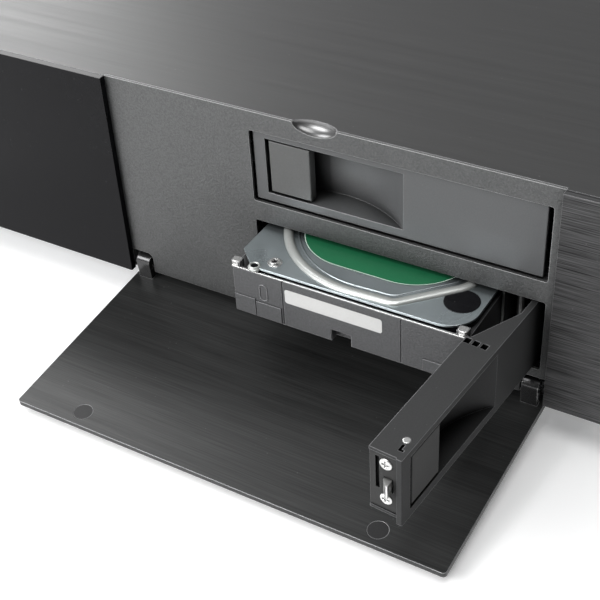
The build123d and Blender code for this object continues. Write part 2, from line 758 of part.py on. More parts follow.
for bay, up in bays.items():
    opened = swing if bay == "lower" else 0
    hinge = Plane(
        origin=level.from_local_coords((pin_x, pin_in, up)),
        x_dir=(cos(opened), sin(opened), 0),
        z_dir=(0, 0, 1),
    )
    handle_end = Plane(origin=hinge.origin, x_dir=hinge.y_dir, z_dir=hinge.x_dir)

    with BuildPart() as handle:
        block(hinge, (tip, face_right - pin_x), (face_front, face_back), (face_gap_below, face_top))
        fillet(handle.edges().filter_by(Axis.Z), radius=face_edge)
        block(hinge, (box_tip, box_end), (face_back, box_back), (box_rise, face_top))
        with BuildSketch(hinge.offset(scoop_z[0])) as scoop:
            with BuildLine():
                floor = face_front + pocket_depth
                bend = (scoop_right - pocket_bend_back, face_front + pocket_bend_depth)
                Polyline(
                    (scoop_floor_end, floor),
                    (scoop_left, floor),
                    (scoop_left, face_front),
                    (scoop_right, face_front),
                )
                ThreePointArc((scoop_right, face_front), bend, (scoop_floor_end, floor))
            make_face()
        extrude(scoop.sketch, amount=scoop_z[1] - scoop_z[0], mode=Mode.SUBTRACT)
        for rib in range(rib_pockets):
            start = face_back + rib_sheet + rib * (rib_pocket_width + rib_sheet)
            rib_x = (box_end - rib_wall - rib_pocket_depth, box_end - rib_wall)
            rib_z = (box_rise + web_sheet, face_top)
            block(hinge, rib_x, (start, start + rib_pocket_width), rib_z, Mode.SUBTRACT)
        for low in (box_rise, face_top - web_sheet):
            with BuildSketch(hinge.offset(low)) as web:
                with BuildLine():
                    Polyline(
                        (box_end, face_back),
                        (-web_end, face_back),
                        (box_end, face_back + web_depth),
                        close=True,
                    )
                make_face()
            extrude(web.sketch, amount=web_sheet)
        for low in (face_rise, face_top - arm_sheet):
            with BuildSketch(hinge.offset(low)) as arm:
                span((-arm_left, arm_right), (face_back, 0))
                Circle(knuckle)
            extrude(arm.sketch, amount=arm_sheet)
        with BuildSketch(hinge.offset(face_rise)) as crank:
            with Locations((peg_place[0] / 2, peg_place[1] / 2)):
                SlotCenterToCenter(crank_radius, crank_width, rotation=crank_angle)
        extrude(crank.sketch, amount=crank_sheet)
        peg_low = face_rise + crank_sheet
        bar(hinge, peg_place[0], peg_place[1], peg_radius, (peg_low, peg_low + peg_height))
        bar(hinge, 0, 0, pin_radius + running_gap, (face_rise, face_top), Mode.SUBTRACT)
        block(hinge, (box_tip, cap_back), (face_back, box_back), cap_span, Mode.SUBTRACT)
        with BuildSketch(handle_end.offset(cap_back)) as bolt_way:
            span((bolt_y[0] - side_play, bolt_y[1] + side_play), (bolt_z[0] - side_play, bolt_z[1] + side_play))
        extrude(bolt_way.sketch, amount=scoop_left - cap_back, mode=Mode.SUBTRACT)
        for y, z in screw_places:
            bar(handle_end, y, z, screw_shank, (cap_back, cap_back + screw_reach), Mode.SUBTRACT)
        pin_place = (tip + guide_pin_from_tip, face_front + guide_pin_in)
        pin_top = face_top + guide_pin_stand
        pin_z = (pin_top - guide_pin_length, face_top)
        bar(hinge, pin_place[0], pin_place[1], guide_pin_radius, pin_z, Mode.SUBTRACT)
        slot_long = (tip + spring_slot_from_tip, tip + spring_slot_from_tip + spring_slot_length)
        slot_in = (face_front + spring_slot_in - spring_slot_width, face_front + spring_slot_in)
        slot_z = (face_top - spring_slot_depth, face_top)
        block(hinge, slot_long, slot_in, slot_z, Mode.SUBTRACT)
        slot_foot = (slot_long[0], slot_long[0] + spring_slot_width)
        block(hinge, slot_foot, (slot_in[0] - spring_slot_width, slot_in[0]), slot_z, Mode.SUBTRACT)
    save(handle, f"{bay}_handle")

    with BuildPart() as end_cap:
        block(hinge, (cap_face, cap_back), (face_back, box_back), cap_span)
        with BuildSketch(handle_end.offset(cap_face)) as cap_holes:
            span((bolt_y[0] - side_play, bolt_y[1] + side_play), (bolt_z[0] - side_play, bolt_z[1] + side_play))
            slot_back = box_back - cap_slot_back
            span((slot_back - cap_slot_width, slot_back), (cap_slot_rise, cap_slot_rise + cap_slot_height))
            with Locations(*screw_places):
                Circle(screw_shank)
        extrude(cap_holes.sketch, amount=cap_sheet, mode=Mode.SUBTRACT)
    save(end_cap, f"{bay}_handle_cap")

    with BuildPart() as handle_screws:
        for y, z in screw_places:
            bar(handle_end, y, z, cap_screw_radius, (cap_face - screw_head, cap_face))
            bar(handle_end, y, z, screw_shank, (cap_face, cap_back + screw_reach))
        bar(hinge, pin_place[0], pin_place[1], guide_pin_radius, (pin_top - guide_pin_length, pin_top))
    save(handle_screws, f"{bay}_handle_screws")

    with BuildPart() as latch_button:
        latch_z = (scoop_z[0] + latch_margin, scoop_z[1] - latch_margin)
        block(hinge, latch_x, (face_front + latch_sink, bolt_y[0]), latch_z)
        middle = ((latch_x[0] + latch_x[1]) / 2, face_front, (latch_z[0] + latch_z[1]) / 2)
        press_face = latch_button.faces().sort_by_distance(hinge.from_local_coords(middle))[0]
        fillet(press_face.edges(), radius=latch_edge)
    save(latch_button, f"{bay}_latch_button")

    with BuildPart() as latch_bolt:
        with BuildSketch(hinge.offset(bolt_z[0])) as wedge:
            with BuildLine():
                Polyline(
                    (tip - bolt_throw, bolt_y[0]),
                    (tip - bolt_throw, bolt_y[0] + bolt_nose),
                    (tip, bolt_y[1]),
                    (tip - bolt_throw + bolt_length, bolt_y[1]),
                    (tip - bolt_throw + bolt_length, bolt_y[0]),
                    close=True,
                )
            make_face()
        extrude(wedge.sketch, amount=bolt_height)
    save(latch_bolt, f"{bay}_latch_bolt")

    drive_front = -drive_out if bay == "lower" else drive_in
    drive = Plane(
        origin=level.from_local_coords((drive_left, drive_front, up + drive_gap_below)),
        x_dir=(1, 0, 0),
        z_dir=(0, 0, 1),
    )
    drive_face = Plane(origin=drive.origin, x_dir=(1, 0, 0), z_dir=(0, -1, 0))
    drive_side = Plane(origin=drive.origin, x_dir=(0, 1, 0), z_dir=(1, 0, 0))
    recess_plan = (drive_recess_side, drive_width - drive_recess_side)
    recess_long = (drive_length - drive_board_length - drive_recess_end, drive_length - drive_recess_end)

    with BuildPart() as casting:
        block(drive, (0, drive_width), (0, drive_length), (0, casting_height))
        for x in ((0, pad_width), (drive_width - pad_width, drive_width)):
            for y in ((0, pad_depth), (drive_length - pad_depth, drive_length)):
                block(drive, x, y, (casting_height, pad_height))
        outer = casting.edges().filter_by(Axis.Z)
        corners = outer.group_by(Axis.X)[0] + outer.group_by(Axis.X)[-1]
        corners = corners.group_by(Axis.Y)[0] + corners.group_by(Axis.Y)[-1]
        fillet(corners, radius=drive_corner)
        block(drive, recess_plan, recess_long, (0, drive_recess), Mode.SUBTRACT)
        block(
            drive,
            (drive_wall, drive_width - drive_wall),
            (pad_depth + drive_wall, drive_length - plug_recess_depth - drive_wall),
            (drive_recess + drive_floor, casting_height),
            Mode.SUBTRACT,
        )
        notch_x = (end_notch_left, end_notch_left + end_notch_width)
        block(drive, notch_x, (0, end_notch_depth), (0, end_notch_height), Mode.SUBTRACT)
        plug_x = (plug_recess_left, plug_recess_left + plug_recess_width)
        plug_y = (drive_length - plug_recess_depth, drive_length)
        plug_z = (plug_recess_up, plug_recess_up + plug_recess_height)
        block(drive, plug_x, plug_y, plug_z, Mode.SUBTRACT)
        for from_back in mount_hole_from_back:
            place = (drive_length - from_back, mount_hole_up)
            bar(drive_side, *place, mount_hole_radius, (0, mount_hole_depth), Mode.SUBTRACT)
            far = (drive_width - mount_hole_depth, drive_width)
            bar(drive_side, *place, mount_hole_radius, far, Mode.SUBTRACT)
    save(casting, f"{bay}_drive_casting")

    with BuildPart() as lid:
        with BuildSketch(drive.offset(casting_height)) as lid_plan:
            span((lid_inset, drive_width - lid_inset), (lid_inset, drive_length - lid_inset))
            by_corner = lid_plan.vertices().sort_by(Axis.Y)
            front_pair = ShapeList(by_corner[:2]).sort_by(Axis.X)
            chamfer(front_pair[0], length=lid_chamfer)
            fillet(front_pair[1], radius=lid_corner)
            for x in ((0, pad_width + seam), (drive_width - pad_width - seam, drive_width)):
                for y in ((0, pad_depth + seam), (drive_length - pad_depth - seam, drive_length)):
                    span(x, y, mode=Mode.SUBTRACT)
        extrude(lid_plan.sketch, amount=lid_height - casting_height)
        with BuildSketch(drive.offset(lid_height)) as rim_plan:
            with BuildLine():
                middle = drive_width / 2
                left = middle - rim_radius
                quarter = rim_radius * cos(radians(45))
                Polyline((rim_cut_x[0], rim_cut_y[0]), (rim_cut_x[1], rim_cut_y[1]), (rim_right, spindle_back))
                Polyline((rim_right, spindle_back), (rim_right, rim_back), (left, rim_back), (left, spindle_back))
                ThreePointArc(
                    (left, spindle_back),
                    (middle - quarter, spindle_back - quarter),
                    (rim_cut_x[0], rim_cut_y[0]),
                )
            make_face()
            offset(amount=-rim_width, mode=Mode.SUBTRACT)
        extrude(rim_plan.sketch, amount=drive_height - lid_height)
    save(lid, f"{bay}_drive_lid")

    with BuildPart() as drive_board:
        block(drive, recess_plan, recess_long, (drive_recess - drive_board_sheet, drive_recess))
    save(drive_board, f"{bay}_drive_board")

    with BuildPart() as labels:
        with BuildSketch(drive.offset(lid_height)) as round_label:
            with Locations((drive_width / 2, spindle_back)):
                Circle(label_radius)
            span((0, drive_width), (0, label_front), mode=Mode.SUBTRACT)
        extrude(round_label.sketch, amount=label_sheet)
        bar(drive, seal_x, seal_y, seal_radius, (lid_height, lid_height + label_sheet))
        label_x = (end_label_left, end_label_left + end_label_width)
        label_z = (end_label_up, end_label_up + end_label_height)
        block(drive_face, label_x, label_z, (0, label_sheet))
    save(labels, f"{bay}_drive_labels")

    with BuildPart() as ejector:
        shift = drive_front - drive_in
        way_x = (slot_x[0] - peg_radius - peg_side_play, slot_x[1] + peg_radius + peg_side_play)
        way_y = (peg_in + peg_lead - peg_play - peg_radius, peg_in + peg_lead + peg_play + peg_radius)
        plate_x = (drive_left + ejector_inset, way_x[1] + ejector_side)
        plate_y = (peg_in - ejector_nose + shift, drive_back + ejector_tab_gap + ejector_sheet + shift)
        plate_z = (up + ejector_rise, up + ejector_rise + ejector_sheet)
        block(level, plate_x, plate_y, plate_z)
        for x in (plate_x[0], slot_x[0] - ejector_runner_gap):
            runner_y = (ejector_runner_front + drive_in + drive_out + shift, plate_y[1])
            block(level, (x, x + ejector_sheet), runner_y, (up + deck_top + glide_gap, plate_z[0]))
        tab_x = (slot_x[0] - ejector_tab_shift, slot_x[0] - ejector_tab_shift + ejector_tab_width)
        tab_y = (plate_y[1] - ejector_sheet, plate_y[1])
        block(level, tab_x, tab_y, (plate_z[1], up + ejector_tab_height))
        block(level, way_x, (way_y[0] + shift, way_y[1] + shift), plate_z, Mode.SUBTRACT)
    save(ejector, f"{bay}_ejector")

# ================================================================ power button and display
with BuildPart() as power_button:
    behind = -steel - glide_gap
    bar(front, power_x, power_from_low, power_radius, (behind, fascia_sheet + power_proud))
    fillet(power_button.edges().filter_by(GeomType.CIRCLE).sort_by(Axis.Y)[0], radius=power_edge)
    collar = (behind - power_collar, behind)
    bar(front, power_x, power_from_low, power_radius + power_collar, collar)
    bar(front, power_x, power_from_low, power_plunger, (power_tip_gap - front_board_in, collar[0]))
save(power_button, "power_button")

with BuildPart() as display_module:
    display_x = (display_left, display_left + display_width)
    block(level, display_x, (0, front_board_in), (display_low, display_low + display_height))
save(display_module, "display_module")

front_board_x = (left_end + front_board_from_side, -front_board_from_recess)
front_board_z = (front_board_low, front_height - front_board_from_top)

with BuildPart() as front_board:
    block(level, front_board_x, (front_board_in, front_board_in + board_sheet), front_board_z)
save(front_board, "front_board")

# ================================================================ boards and supply
board_low = steel + board_rise
board_top = board_low + board_sheet
supply_right = right_end - supply_from_side
supply_left = supply_right - supply_width
supply_front = cage_depth + supply_from_cage
boards = {
    "main_board": (main_board_left, main_board_right, main_board_front),
    "power_board": (supply_left, supply_right, supply_front),
}

for name, (x0, x1, y0) in boards.items():
    with BuildPart() as board:
        block(level, (x0, x1), (y0, board_back), (board_low, board_top))
    save(board, name)

with BuildPart() as board_standoffs:
    for x0, x1, y0 in boards.values():
        for x in (x0 + standoff_inset, x1 - standoff_inset):
            for y in (y0 + standoff_inset, board_back - standoff_inset):
                bar(level, x, y, standoff_radius, (steel, board_low))
    for x in (front_board_x[0] + standoff_inset, front_board_x[1] - standoff_inset):
        for z in (front_board_z[0] + standoff_inset, front_board_z[1] - standoff_inset):
            bar(front, x, z, standoff_radius, (-front_board_in, -steel))
save(board_standoffs, "board_standoffs")

with BuildPart() as heatsink:
    sink_x = main_board_left + sink_from_side
    sink_y = (main_board_front + sink_from_front, main_board_front + sink_from_front + sink_length)
    block(level, (sink_x, sink_x + sink_width), sink_y, (board_top, board_top + sink_base))
    for fin in range(sink_fins):
        x = sink_x + fin * (sink_width - sink_fin) / (sink_fins - 1)
        block(level, (x, x + sink_fin), sink_y, (board_top + sink_base, board_top + sink_height))
save(heatsink, "heatsink")

with BuildPart() as power_transformer:
    core_x = (supply_left + core_from_side, supply_left + core_from_side + core_width)
    core_y = (supply_front + core_from_front, supply_front + core_from_front + core_length)
    block(level, core_x, core_y, (board_top, board_top + core_height))
    coil_x = (core_x[0] + coil_inset, core_x[1] - coil_inset)
    coil_y = (core_y[0] - coil_overhang, core_y[1] + coil_overhang)
    block(level, coil_x, coil_y, (board_top, board_top + core_height - coil_inset))
save(power_transformer, "power_transformer")

with BuildPart() as power_capacitors:
    for row in (large_capacitors, small_capacitors):
        for from_side in row["from_side"]:
            place = (supply_left + from_side, supply_front + row["from_front"])
            bar(level, *place, row["radius"], (board_top, board_top + row["height"]))
save(power_capacitors, "power_capacitors")

# ================================================================ back of the case
frame_half_x = rocker_width / 2 + side_play + rocker_frame_wall
frame_half_z = rocker_half + rocker_play + rocker_frame_wall
inlet_half_x = inlet_width / 2 + inlet_wall
inlet_half_z = inlet_height / 2 + inlet_wall
inlet_x = right_end - inlet_from_side
rocker_x = right_end - rocker_from_side
phono_x = [left_end + phono_from_side + phono_pitch * phono for phono in range(phonos)]
phono_z = board_top + phono_up
sockets = {
    "hdmi": (hdmi_from_cage, hdmi_width, hdmi_height, hdmi_depth, 1),
    "network": ((network_from_cage,), network_width, network_height, network_depth, 1),
    "usb": ((usb_from_cage,), usb_width, usb_height, usb_depth, 2),
}

with BuildPart() as rear_panel:
    block(level, (inner_left, inner_right), (back_face, case_depth), (0, cover_under))
    with BuildSketch(front.offset(-case_depth)) as panel_holes:
        span(around(inlet_x, inlet_half_x + cutout_gap), around(inlet_up, inlet_half_z + cutout_gap))
        span(around(rocker_x, frame_half_x + cutout_gap), around(rocker_up, frame_half_z + cutout_gap))
        for places, width, height, depth, ports in sockets.values():
            for from_cage in places:
                hole_z = (board_top - cutout_gap, board_top + height + cutout_gap)
                span(around(cage_left - from_cage, width / 2 + cutout_gap), hole_z)
        for x in phono_x:
            with Locations((x, phono_z)):
                Circle(phono_radius + cutout_gap)
        with Locations((cage_left - rear_vent_from_cage, front_height - rear_vent_from_top)):
            with GridLocations(vent_pitch, 0, rear_vent_count, 1):
                SlotOverall(rear_vent_length, vent_width, rotation=90)
    extrude(panel_holes.sketch, amount=steel, mode=Mode.SUBTRACT)
save(rear_panel, "rear_panel")

with BuildPart() as mains_inlet:
    inlet_floor = case_depth - inlet_cavity
    inlet_y = (case_depth - inlet_depth, case_depth)
    block(level, around(inlet_x, inlet_half_x), inlet_y, around(inlet_up, inlet_half_z))
    flange_x = around(inlet_x, inlet_flange_width / 2)
    flange_z = around(inlet_up, inlet_flange_height / 2)
    block(level, flange_x, (case_depth, case_depth + inlet_flange), flange_z)
    mouth_z = around(inlet_up, inlet_height / 2)
    mouth_y = (inlet_floor, case_depth + inlet_flange)
    block(level, around(inlet_x, inlet_width / 2), mouth_y, mouth_z, Mode.SUBTRACT)
    for shift, rise in ((-inlet_pin_pitch, 0), (0, inlet_pin_rise), (inlet_pin_pitch, 0)):
        prong_x = around(inlet_x + shift, inlet_pin_width / 2)
        prong_z = around(inlet_up + rise, inlet_pin_height / 2)
        block(level, prong_x, (inlet_floor, inlet_floor + inlet_pin_length), prong_z)
save(mains_inlet, "mains_inlet")

with BuildPart() as switch_frame:
    frame_floor = case_depth - rocker_frame_depth
    block(level, around(rocker_x, frame_half_x), (frame_floor, case_depth), around(rocker_up, frame_half_z))
    bezel_x = around(rocker_x, frame_half_x + rocker_bezel_margin)
    bezel_z = around(rocker_up, frame_half_z + rocker_bezel_margin)
    block(level, bezel_x, (case_depth, case_depth + rocker_bezel), bezel_z)
    well_x = around(rocker_x, rocker_width / 2 + side_play)
    well_z = around(rocker_up, rocker_half + rocker_play)
    well_y = (frame_floor + rocker_frame_wall, case_depth + rocker_bezel)
    block(level, well_x, well_y, well_z, Mode.SUBTRACT)
    stub = rocker_width / 2 + side_play + rocker_stub
    bore = rocker_pivot_radius + running_gap
    bar(side, case_depth - rocker_pivot_in, rocker_up, bore, around(rocker_x, stub), Mode.SUBTRACT)
save(switch_frame, "switch_frame")

with BuildPart() as switch_rocker:
    tilt = radians(rocker_tilt)
    pivot = Plane(
        origin=level.from_local_coords((rocker_x, case_depth - rocker_pivot_in, rocker_up)),
        x_dir=(0, cos(tilt), sin(tilt)),
        z_dir=(1, 0, 0),
    )
    with BuildSketch(pivot.offset(-rocker_width / 2)) as rocker_side:
        with BuildLine():
            Polyline(
                (-rocker_proud, -rocker_neck),
                (rocker_proud, -rocker_half),
                (rocker_proud - rocker_half * sin(tilt) / cos(tilt), 0),
                (rocker_proud, rocker_half),
                (-rocker_proud, rocker_neck),
                close=True,
            )
        make_face()
    extrude(rocker_side.sketch, amount=rocker_width)
    bar(pivot, 0, 0, rocker_pivot_radius, (running_gap - stub, stub - running_gap))
save(switch_rocker, "switch_rocker")

with BuildPart() as data_sockets:
    for places, width, height, depth, ports in sockets.values():
        for from_cage in places:
            x = cage_left - from_cage
            socket_y = (case_depth + socket_proud - depth, case_depth + socket_proud)
            block(level, around(x, width / 2), socket_y, (board_top, board_top + height))
            each = (height - socket_wall) / ports
            deep = socket_y[0] + socket_back
            for port in range(ports):
                low = board_top + socket_wall + port * each
                mouth = (low, low + each - socket_wall)
                inside = around(x, width / 2 - socket_wall)
                block(level, inside, (deep, socket_y[1]), mouth, Mode.SUBTRACT)
                if places != (network_from_cage,):
                    tongue_z = around((mouth[0] + mouth[1]) / 2, socket_wall)
                    tongue_y = (deep, case_depth - socket_wall)
                    block(level, around(x, width / 2 - socket_back), tongue_y, tongue_z)
save(data_sockets, "data_sockets")

with BuildPart() as audio_sockets:
    for x in phono_x:
        phono_top = phono_z + phono_block / 2
        block(level, around(x, phono_block / 2), (back_face - phono_depth, back_face), (board_top, phono_top))
        bar(front, x, phono_z, phono_radius, (-case_depth - phono_length, -back_face))
        bar(front, x, phono_z, phono_bore, (-case_depth - phono_length, -case_depth), Mode.SUBTRACT)
save(audio_sockets, "audio_sockets")
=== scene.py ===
import json
import math

import bmesh
import bpy
from mathutils import Matrix, Vector


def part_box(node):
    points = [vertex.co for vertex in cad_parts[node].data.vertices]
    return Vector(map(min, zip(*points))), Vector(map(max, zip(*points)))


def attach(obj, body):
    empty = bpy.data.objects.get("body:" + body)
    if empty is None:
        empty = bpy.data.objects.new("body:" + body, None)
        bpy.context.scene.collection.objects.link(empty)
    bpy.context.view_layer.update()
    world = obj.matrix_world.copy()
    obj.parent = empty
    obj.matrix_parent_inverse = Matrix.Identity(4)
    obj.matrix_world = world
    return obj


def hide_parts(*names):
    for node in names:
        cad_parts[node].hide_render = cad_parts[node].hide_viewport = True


# The looks of a media player with two drive bays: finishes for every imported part, and the fine pieces
# that sit on them. Lengths inside a piece are in millimetres, turned to metres by the piece's own frame.

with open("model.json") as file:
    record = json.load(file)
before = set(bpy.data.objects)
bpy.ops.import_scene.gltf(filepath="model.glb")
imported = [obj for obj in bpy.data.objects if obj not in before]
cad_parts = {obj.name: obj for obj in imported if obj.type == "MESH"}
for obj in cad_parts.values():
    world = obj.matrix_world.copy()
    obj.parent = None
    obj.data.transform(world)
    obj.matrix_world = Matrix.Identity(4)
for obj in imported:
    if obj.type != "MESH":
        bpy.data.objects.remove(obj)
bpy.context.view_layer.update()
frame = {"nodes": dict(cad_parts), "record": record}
nodes = frame["nodes"]
MM = 0.001


# ---------------------------------------------------------------- places
def spot(origin, x_axis=(1, 0, 0), z_axis=(0, 0, 1)):
    """The frame of a piece: takes millimetres along its own axes to metres in the row frame."""
    x, z = Vector(x_axis).normalized(), Vector(z_axis).normalized()
    axes = Matrix((x, z.cross(x), z)).transposed().to_4x4()
    return Matrix.Translation(origin) @ axes @ Matrix.Scale(MM, 4)


# The case's own place: millimetres from the door recess's left edge, the steel front and the underside.
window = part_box("display_window")
corner = Vector((window[1].x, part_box("front_panel")[0].y, window[0].z))
case = spot(corner)
front_height = 98.0
case_depth = 300.0
# Each bay's height in the case, and how far its handle is swung open.
bays = {"lower": 14.5, "upper": 56.7}
opened = {"lower": math.radians(85.5), "upper": 0.0}


def along_case(point):
    """A point of the case in the row frame."""
    return case @ Vector(point)


# ---------------------------------------------------------------- shader groups
def wire(tree, kind, inputs=(), **settings):
    """Adds a node, sets it up and joins or sets its inputs, given as {input: socket or value}."""
    node = tree.nodes.new(kind)
    for key, value in settings.items():
        setattr(node, key, value)
    for key, value in dict(inputs).items():
        if isinstance(value, bpy.types.NodeSocket):
            tree.links.new(value, node.inputs[key])
        else:
            node.inputs[key].default_value = value
    return node


def group(name, inputs, outputs):
    """An empty shader group with named inputs, given as {name: (socket type, value)}, and outputs."""
    tree = bpy.data.node_groups.new(name, "ShaderNodeTree")
    for key, (kind, value) in inputs.items():
        socket = tree.interface.new_socket(key, in_out="INPUT", socket_type=kind)
        socket.default_value = value
    for key, kind in outputs.items():
        tree.interface.new_socket(key, in_out="OUTPUT", socket_type=kind)
    return tree, tree.nodes.new("NodeGroupInput").outputs, tree.nodes.new("NodeGroupOutput").inputs


VALUE, VECTOR = "NodeSocketFloat", "NodeSocketVector"
RAY_SAMPLES = 6
FULL_EDGE_TURN, NO_EDGE_TURN = 0.8, 0.995
NOISE_LOW, NOISE_HIGH = 0.3, 0.7
BAND_SHARE = 0.12
SMEARS_PER_METRE, SPECKS_PER_METRE, DUST_PATCHES_PER_METRE = 22.0, 260.0, 60.0
SMEAR_LOW, SMEAR_HIGH = 0.42, 0.7
SPECK_EDGE, SPECK_CORE = 0.09, 0.03
DUST_LOW, DUST_HIGH = 0.5, 0.65
OPEN_SKY, DEEP_SKY = 0.85, 0.35


def surface_place(tree, stretch=None):
    """The place on the piece itself, drawn out along the lines of a brushed or rolled surface."""
    place = wire(tree, "ShaderNodeTexCoord").outputs["Object"]
    if stretch is None:
        return place
    return wire(tree, "ShaderNodeVectorMath", {0: place, 1: stretch}, operation="MULTIPLY").outputs[0]


def spread(tree, value, low, high, to_low=0.0, to_high=1.0):
    """Maps a value from one range to another."""
    inputs = {"Value": value, "From Min": low, "From Max": high, "To Min": to_low, "To Max": to_high}
    return wire(tree, "ShaderNodeMapRange", inputs).outputs["Result"]


def build_edge_line():
    """Finds the outer edges of a piece and rounds them for the light; its edge mask is used for painted edge
    highlights.
    """
    tree, given, result = group(
        "edge line", {"Radius": (VALUE, 0.0003)}, {"Edge Highlight": VALUE, "Normal": VECTOR}
    )
    bevel = wire(tree, "ShaderNodeBevel", {"Radius": given["Radius"]}, samples=RAY_SAMPLES)
    softened = bevel.outputs["Normal"]
    flat = wire(tree, "ShaderNodeNewGeometry").outputs["Normal"]
    turned = wire(tree, "ShaderNodeVectorMath", {0: softened, 1: flat}, operation="DOT_PRODUCT")
    edge = spread(tree, turned.outputs["Value"], NO_EDGE_TURN, FULL_EDGE_TURN)
    tree.links.new(edge, result["Edge Highlight"])
    tree.links.new(softened, result["Normal"])
    return tree


def build_fine_grain():
    """Powder coat and moulded grain: a fine tooth, with slow patches of tone."""
    tree, given, result = group(
        "fine grain",
        {"Grain Size": (VALUE, 0.0004), "Patch Size": (VALUE, 0.05)},
        {"Grain": VALUE, "Patch": VALUE},
    )
    place = surface_place(tree)
    for size, output, detail in (("Grain Size", "Grain", 3.0), ("Patch Size", "Patch", 2.0)):
        scale = wire(tree, "ShaderNodeMath", {0: 1.0, 1: given[size]}, operation="DIVIDE").outputs[0]
        noise = wire(tree, "ShaderNodeTexNoise", {"Vector": place, "Scale": scale, "Detail": detail})
        tree.links.new(spread(tree, noise.outputs["Fac"], NOISE_LOW, NOISE_HIGH), result[output])
    return tree


def build_brushed_lines():
    """Long fine scratches that run one way, with wider bands between them."""
    tree, given, result = group(
        "brushed lines",
        {"Stretch": (VECTOR, (0.01, 1.0, 1.0)), "Line Width": (VALUE, 0.0003)},
        {"Lines": VALUE, "Bands": VALUE},
    )
    place = surface_place(tree, given["Stretch"])
    scale = wire(tree, "ShaderNodeMath", {0: 1.0, 1: given["Line Width"]}, operation="DIVIDE").outputs[0]
    wider = wire(tree, "ShaderNodeMath", {0: scale, 1: BAND_SHARE}, operation="MULTIPLY").outputs[0]
    for size, output in ((scale, "Lines"), (wider, "Bands")):
        noise = wire(tree, "ShaderNodeTexNoise", {"Vector": place, "Scale": size, "Detail": 4.0})
        tree.links.new(spread(tree, noise.outputs["Fac"], NOISE_LOW, NOISE_HIGH), result[output])
    return tree


def build_handling_marks():
    """Soft smears from hands and a thin fall of dust."""
    tree, given, result = group(
        "handling marks", {"Amount": (VALUE, 0.5)}, {"Smear": VALUE, "Dust": VALUE}
    )
    place = surface_place(tree)
    smear = wire(tree, "ShaderNodeTexNoise", {"Vector": place, "Scale": SMEARS_PER_METRE, "Detail": 5.0})
    specks = wire(tree, "ShaderNodeTexVoronoi", {"Vector": place, "Scale": SPECKS_PER_METRE})
    speck = spread(tree, specks.outputs["Distance"], SPECK_EDGE, SPECK_CORE)
    patches = wire(tree, "ShaderNodeTexNoise", {"Vector": place, "Scale": DUST_PATCHES_PER_METRE})
    patch = spread(tree, patches.outputs["Fac"], DUST_LOW, DUST_HIGH)
    thin = wire(tree, "ShaderNodeMath", {0: speck, 1: patch}, operation="MULTIPLY").outputs[0]
    smeared = spread(tree, smear.outputs["Fac"], SMEAR_LOW, SMEAR_HIGH)
    for value, output in ((smeared, "Smear"), (thin, "Dust")):
        scaled = wire(tree, "ShaderNodeMath", {0: value, 1: given["Amount"]}, operation="MULTIPLY")
        tree.links.new(scaled.outputs[0], result[output])
    return tree


def build_painted_hollow_shade():
    """Finds how deep a place lies in a pocket or a gap, 0 in the open and 1 deep inside: the mask of painted
    shade.
    """
    tree, given, result = group("painted hollow shade", {"Reach": (VALUE, 0.012)}, {"Painted Shade": VALUE})
    open_sky = wire(tree, "ShaderNodeAmbientOcclusion", {"Distance": given["Reach"]}, samples=RAY_SAMPLES)
    tree.links.new(spread(tree, open_sky.outputs["AO"], OPEN_SKY, DEEP_SKY), result["Painted Shade"])
    return tree


edge_line = build_edge_line()
fine_grain = build_fine_grain()
brushed_lines = build_brushed_lines()
handling_marks = build_handling_marks()
painted_hollow_shade = build_painted_hollow_shade()


# ---------------------------------------------------------------- finishes
ALONG_X = (0.01, 1.0, 1.0)
ALONG_Y = (1.0, 0.01, 1.0)
SIDE_PANEL_LINES = (0.02, 1.0, 1.0)
FAINT_LINES = (0.015, 1.0, 1.0)
# A light grey used only as a painted edge highlight.
EDGE_HIGHLIGHT_GREY = (0.42, 0.42, 0.43)
DUST_GREY, DUST_SHARE = (0.5, 0.5, 0.5), 0.35
# The near-black that pockets and gaps are darkened towards: painted shade.
PAINTED_SHADE_BLACK = (0.002, 0.002, 0.002)
COAT_ROUGHNESS = 0.08
COLOUR_A, COLOUR_B, COLOUR_OUT = 6, 7, 2


def fill(tree, made_group, inputs):
    """Adds a shader group to a finish, with its inputs set."""
    node = tree.nodes.new("ShaderNodeGroup")
    node.node_tree = made_group
    for key, value in inputs.items():
        node.inputs[key].default_value = value
    return node


def mix_colour(tree, factor, first, second):
    """Mixes two colours, each a socket or three numbers, by a factor's socket."""
    node = wire(tree, "ShaderNodeMix", data_type="RGBA")
    tree.links.new(factor, node.inputs[0])
    for colour, slot in ((first, COLOUR_A), (second, COLOUR_B)):
        if isinstance(colour, bpy.types.NodeSocket):
            tree.links.new(colour, node.inputs[slot])
        else:
            node.inputs[slot].default_value = (*colour, 1.0)
    return node.outputs[COLOUR_OUT]


def times(tree, value, amount):
    """Multiplies a value by an amount."""
    return wire(tree, "ShaderNodeMath", {0: value, 1: amount}, operation="MULTIPLY").outputs[0]


